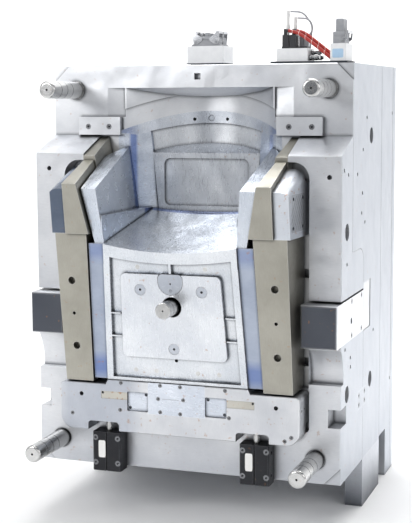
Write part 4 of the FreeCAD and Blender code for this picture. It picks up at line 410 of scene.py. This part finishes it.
SPECIAL = {
    # Painted shade: the left cheek is dark slate for the shadow it stands in.
    "left_arm_cheek": metal("shaded_left_cheek_steel", (0.15, 0.18, 0.24), (0.07, 0.09, 0.13), 0.34,
                            marks=UPRIGHT, rust=0.5),
    "right_arm_cheek": metal("right_cheek_steel", (0.72, 0.75, 0.80), (0.50, 0.53, 0.58), 0.32,
                             marks=UPRIGHT, rust=0.6, rust_level=0.63),
    "back_pillars": metal("dyed_pillar_steel", (0.70, 0.74, 0.80), (0.45, 0.50, 0.60), 0.28,
                          marks=UPRIGHT, depth_shade=0.1, bump=0.03,
                          zones=[(X_AXIS, -0.27, -0.243, 0.008, DYE, 0.8),
                                 (X_AXIS, 0.243, 0.27, 0.008, DYE, 0.5)]),
    "arch_insert": metal("dyed_arch_steel", (0.74, 0.77, 0.82), (0.44, 0.49, 0.58), 0.28, marks=ACROSS,
                         zones=[(X_AXIS, -0.31, -0.235, 0.03, DYE, 0.5),
                                (X_AXIS, 0.235, 0.31, 0.03, DYE, 0.5)]),
    "core_strips": metal("dyed_strip_steel", (0.50, 0.55, 0.64), (0.26, 0.30, 0.40), 0.32, marks=UPRIGHT,
                         zones=[(Z_AXIS, 0.49, 0.60, 0.04, DYE, 0.7),
                                (Z_AXIS, 0.90, 1.0, 0.04, DYE, 0.45)]),
    "seat_core": metal("dyed_seat_steel", (0.80, 0.82, 0.85), (0.52, 0.56, 0.62), 0.27, marks=ACROSS,
                       rust=0.5, rust_level=0.70, bump=0.04,
                       zones=[(Y_AXIS, -0.122, -0.08, 0.010, DYE, 0.85)]),
    "left_arm_core": arm_steel("dyed_left_arm_steel", 0.85),
    "right_arm_core": arm_steel("dyed_right_arm_steel", 0.6),
    "slide_bars": metal("pale_bar_steel", (0.66, 0.64, 0.58), (0.48, 0.46, 0.41), 0.34, marks=ACROSS,
                        rust=0.7, rust_level=0.62),
    # Its edge colour is darker than the plate, so its painted edge tone darkens the edges.
    "right_wear_plate": metal("wear_plate_steel", (0.58, 0.60, 0.63), (0.34, 0.36, 0.40), 0.34,
                              marks=UPRIGHT, rust=0.4, edge=(0.2, 0.21, 0.24)),
    "d_insert": metal("d_insert_steel", (0.60, 0.63, 0.68), (0.34, 0.37, 0.43), 0.32, marks=ACROSS,
                      rust=0.3),
    "panel_plugs": metal("plug_steel", (0.64, 0.67, 0.72), (0.36, 0.39, 0.45), 0.34, marks=ACROSS,
                         rust=0.3),
    "bottom_slide": metal("slide_steel_painted_reflection", (0.79, 0.80, 0.82), (0.54, 0.56, 0.60), 0.36,
                          marks=ACROSS, rust=0.45, rust_level=0.66,
                          # Painted reflection: a darker blue-grey patch on the left, where the steel
                          # mirrors dark surroundings.
                          zones=[(X_AXIS, -0.46, -0.12, 0.06, (0.30, 0.34, 0.42), 0.5)]),
    "front_feet": metal("shaded_foot_steel", (0.60, 0.62, 0.66), (0.40, 0.42, 0.46), 0.42,
                        zones=[(Z_AXIS, -0.2, 0.14, 0.14, (0.08, 0.09, 0.11), 0.85)]),
}
slot_of = {row["node"]: row["material_slot"] for row in frame["record"]["subparts"]}
for name, piece in nodes.items():
    piece.data.materials.clear()
    piece.data.materials.append(SPECIAL.get(name, MATERIALS[slot_of[name]]))
print("finishes given to", len(nodes), "pieces,", len(SPECIAL), "of them their own")

# %% [markdown]
# Blank labels: a paper one on each cylinder and a pale blue sticker on the small junction box.
# Each is a thin sheet with round corners whose rim bends down toward the steel. It could be a
# flat plane, but then it would look painted on. One surface drawn from the middle outward lets
# the rim have rings of its own.

# %% Label surface
ROUNDNESS = 8
RIM_START, RIM_WIDTH, RIM_DROP = 0.85, 0.15, 0.6


def label_sheet(name, corner, across, up, size, lift, body, material):
    """Rounded rectangle: p(s, t) = corner + W·u(s, t)·across + H·v(s, t)·up + h(s)·n.
    s runs from the middle (0), where a whole ring of points lies on one spot, to the rim (1), and
    t once round a superellipse whose power is ROUNDNESS."""
    rings, spokes = 9, 72
    s = np.linspace(0, 1, rings)[:, None]
    t = np.linspace(0, 2 * np.pi, spokes, endpoint=False)[None, :]
    radius = (np.abs(np.cos(t)) ** ROUNDNESS + np.abs(np.sin(t)) ** ROUNDNESS) ** (-1 / ROUNDNESS)
    u, v = 0.5 + 0.5 * s * radius * np.cos(t), 0.5 + 0.5 * s * radius * np.sin(t)
    across, up = np.array(across, float), np.array(up, float)
    normal = np.cross(across, up)
    height = lift * (1 - RIM_DROP * np.clip((s - RIM_START) / RIM_WIDTH, 0, 1) ** 2) + 0 * t
    points = (np.array(corner) + size[0] * u[..., None] * across + size[1] * v[..., None] * up
              + height[..., None] * normal)
    ring, spoke = np.meshgrid(np.arange(rings - 1), np.arange(spokes), indexing="ij")
    after = (spoke + 1) % spokes
    faces = np.stack([ring * spokes + spoke, (ring + 1) * spokes + spoke, (ring + 1) * spokes + after,
                      ring * spokes + after], -1).reshape(-1, 4)
    mesh = bpy.data.meshes.new(name)
    mesh.from_pydata(points.reshape(-1, 3).tolist(), [], faces.tolist())
    mesh.polygons.foreach_set("use_smooth", np.ones(len(mesh.polygons), bool))
    piece = bpy.data.objects.new(name, mesh)
    bpy.context.scene.collection.objects.link(piece)
    mesh.materials.append(material)
    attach(piece, body)
    return piece


print("label rim drops over", RIM_WIDTH, "of its half width")

# %% [markdown]
# The three labels, each on the front of the piece that carries it.

# %% Labels in place
PAPER = moulded("blank_paper_label", (0.84, 0.84, 0.82), (0.74, 0.74, 0.72), 0.5)
PALE_BLUE = moulded("pale_blue_sticker", (0.42, 0.60, 0.78), (0.34, 0.50, 0.68), 0.4)
LABEL_LIFT = 0.0006
PAPER_SIZE, STICKER_SIZE = (0.026, 0.061), (0.038, 0.030)
PAPER_LEFT_EDGES = {"left": -299.0, "right": 237.0}
CYLINDER_FRONT, PAPER_LOW = -58.0, 39.0
STICKER_CORNER = place(468.0, 192.0, 1418.0)
labels = []
for side, left_edge in PAPER_LEFT_EDGES.items():
    corner = place(left_edge, CYLINDER_FRONT, PAPER_LOW)
    labels.append(label_sheet(side + "_cylinder_label", corner, X_AXIS, Z_AXIS, PAPER_SIZE, LABEL_LIFT,
                              "base", PAPER))
labels.append(label_sheet("box_sticker", STICKER_CORNER, X_AXIS, Z_AXIS, STICKER_SIZE, LABEL_LIFT,
                          "base", PALE_BLUE))
print("labels:", [piece.name for piece in labels])

# %% [markdown]
# Stage: a plain pale floor that rises behind the mould in one sweep, as paper does in a studio.
# A flat plane with a wall would show the line where they meet.

# %% Floor
FLOOR_FRONT, FLOOR_BACK, FLOOR_SIDE = -9.0, 6.0, 12.0
SWEEP_RADIUS, WALL_TOP, SWEEP_STEPS = 3.0, 9.0, 24
FLOOR_WHITE, FLOOR_SHADE, FLOOR_ROUGH = (0.95, 0.95, 0.95), (0.94, 0.94, 0.94), 0.9


def sweep_floor():
    """A profile in Y and Z, carried along X: level to FLOOR_BACK, a quarter circle, then upright."""
    bend = np.linspace(0, np.pi / 2, SWEEP_STEPS)
    y = np.concatenate([[FLOOR_FRONT], FLOOR_BACK + SWEEP_RADIUS * np.sin(bend),
                        [FLOOR_BACK + SWEEP_RADIUS]])
    z = np.concatenate([[0.0], SWEEP_RADIUS - SWEEP_RADIUS * np.cos(bend), [WALL_TOP]])
    x = np.array([-FLOOR_SIDE, FLOOR_SIDE])
    points = np.stack([np.repeat(x, len(y)), np.tile(y, 2), np.tile(z, 2)], -1)
    index = np.arange(len(y) - 1)
    faces = np.stack([index, index + 1, index + 1 + len(y), index + len(y)], -1)
    mesh = bpy.data.meshes.new("studio_floor")
    mesh.from_pydata(points.tolist(), [], faces.tolist())
    mesh.polygons.foreach_set("use_smooth", np.ones(len(mesh.polygons), bool))
    floor = bpy.data.objects.new("studio_floor", mesh)
    bpy.context.scene.collection.objects.link(floor)
    floor.data.materials.append(moulded("pale_floor", FLOOR_WHITE, FLOOR_SHADE, FLOOR_ROUGH, bump=0.0))
    return floor


sweep_floor()
print("floor placed")

# %% [markdown]
# Light: polished steel shows what surrounds it, so the surroundings are soft light and dark
# patches and not one even white, which would leave the steel flat. Broad soft lights stand at
# the front left, on the right and above, and a strong one lights the rising floor behind.

# %% Surroundings and lights
PATCH_SCALE, PATCH_DETAIL = 2.2, 1.0
DARK_PATCH, LIGHT_PATCH = (0.42, (0.07, 0.08, 0.10, 1)), (0.58, (1.0, 1.0, 1.0, 1))
SURROUND_STRENGTH = 1.08
MIDDLE = (0, 0, 0.8)
LIGHTS = (("front_left", (-2.8, -4.5, 3.2), MIDDLE, 2.0, 95),
          ("right_side", (4.5, -1.0, 2.5), (0.3, 0, 0.8), 2.0, 22),
          ("above", (0.0, 0.5, 4.5), MIDDLE, 2.0, 60),
          ("backdrop", (0.0, 3.0, 6.0), (0, 7.0, 1.0), 5.0, 520))


def area_light(name, spot, aim, size, power):
    """A square soft light at spot, turned to face aim; power in watts."""
    data = bpy.data.lights.new(name, "AREA")
    data.energy = power
    data.size = size
    lamp = bpy.data.objects.new(name, data)
    lamp.location = spot
    direction = np.array(aim) - np.array(spot)
    lamp.rotation_euler = (math.atan2(np.hypot(direction[0], direction[1]), -direction[2]), 0,
                           math.atan2(-direction[0], direction[1]))
    bpy.context.scene.collection.objects.link(lamp)


def set_world(strength):
    """Surroundings of large soft patches, dark at one end of a noise and white at the other."""
    world = bpy.data.worlds.new("studio")
    world.use_nodes = True
    tree = world.node_tree
    spot = add(tree, "ShaderNodeTexCoord")
    patches = add(tree, "ShaderNodeTexNoise", {"Vector": spot.outputs["Generated"],
                                               "Scale": PATCH_SCALE, "Detail": PATCH_DETAIL})
    ramp = add(tree, "ShaderNodeValToRGB", {"Fac": patches.outputs["Fac"]})
    for element, (position, colour) in zip(ramp.color_ramp.elements, (DARK_PATCH, LIGHT_PATCH)):
        element.position = position
        element.color = colour
    tree.links.new(ramp.outputs["Color"], tree.nodes["Background"].inputs["Color"])
    tree.nodes["Background"].inputs["Strength"].default_value = strength
    bpy.context.scene.world = world


set_world(SURROUND_STRENGTH)
for light in LIGHTS:
    area_light(*light)
bpy.context.scene.view_settings.view_transform = "Standard"
print(len(LIGHTS), "lights")

# %% [markdown]
# Camera: it stands to the right of the mould and looks slightly down, through a long lens from
# far away, which keeps the plates' edges nearly parallel. A small downward shift of the lens
# centres the mould in the picture.

# %% Camera
CAMERA_SPOT = (1.4983, -4.3635, 1.4532)
YAW, PITCH, ROLL = 0.337, 0.1063, 0.0047
LENS, SENSOR_WIDTH, LENS_SHIFT = 87.72, 36.0, -0.0488


def set_camera():
    """Angles in radians: level and along +Y, then pitched down, rolled and turned about Z."""
    data = bpy.data.cameras.new("camera")
    data.lens = LENS
    data.sensor_width = SENSOR_WIDTH
    data.shift_y = LENS_SHIFT
    camera = bpy.data.objects.new("camera", data)
    camera.location = CAMERA_SPOT
    camera.rotation_euler = (math.pi / 2 - PITCH, ROLL, YAW)
    bpy.context.scene.collection.objects.link(camera)
    bpy.context.scene.camera = camera


set_camera()
print("camera", bpy.context.scene.camera.location[:])
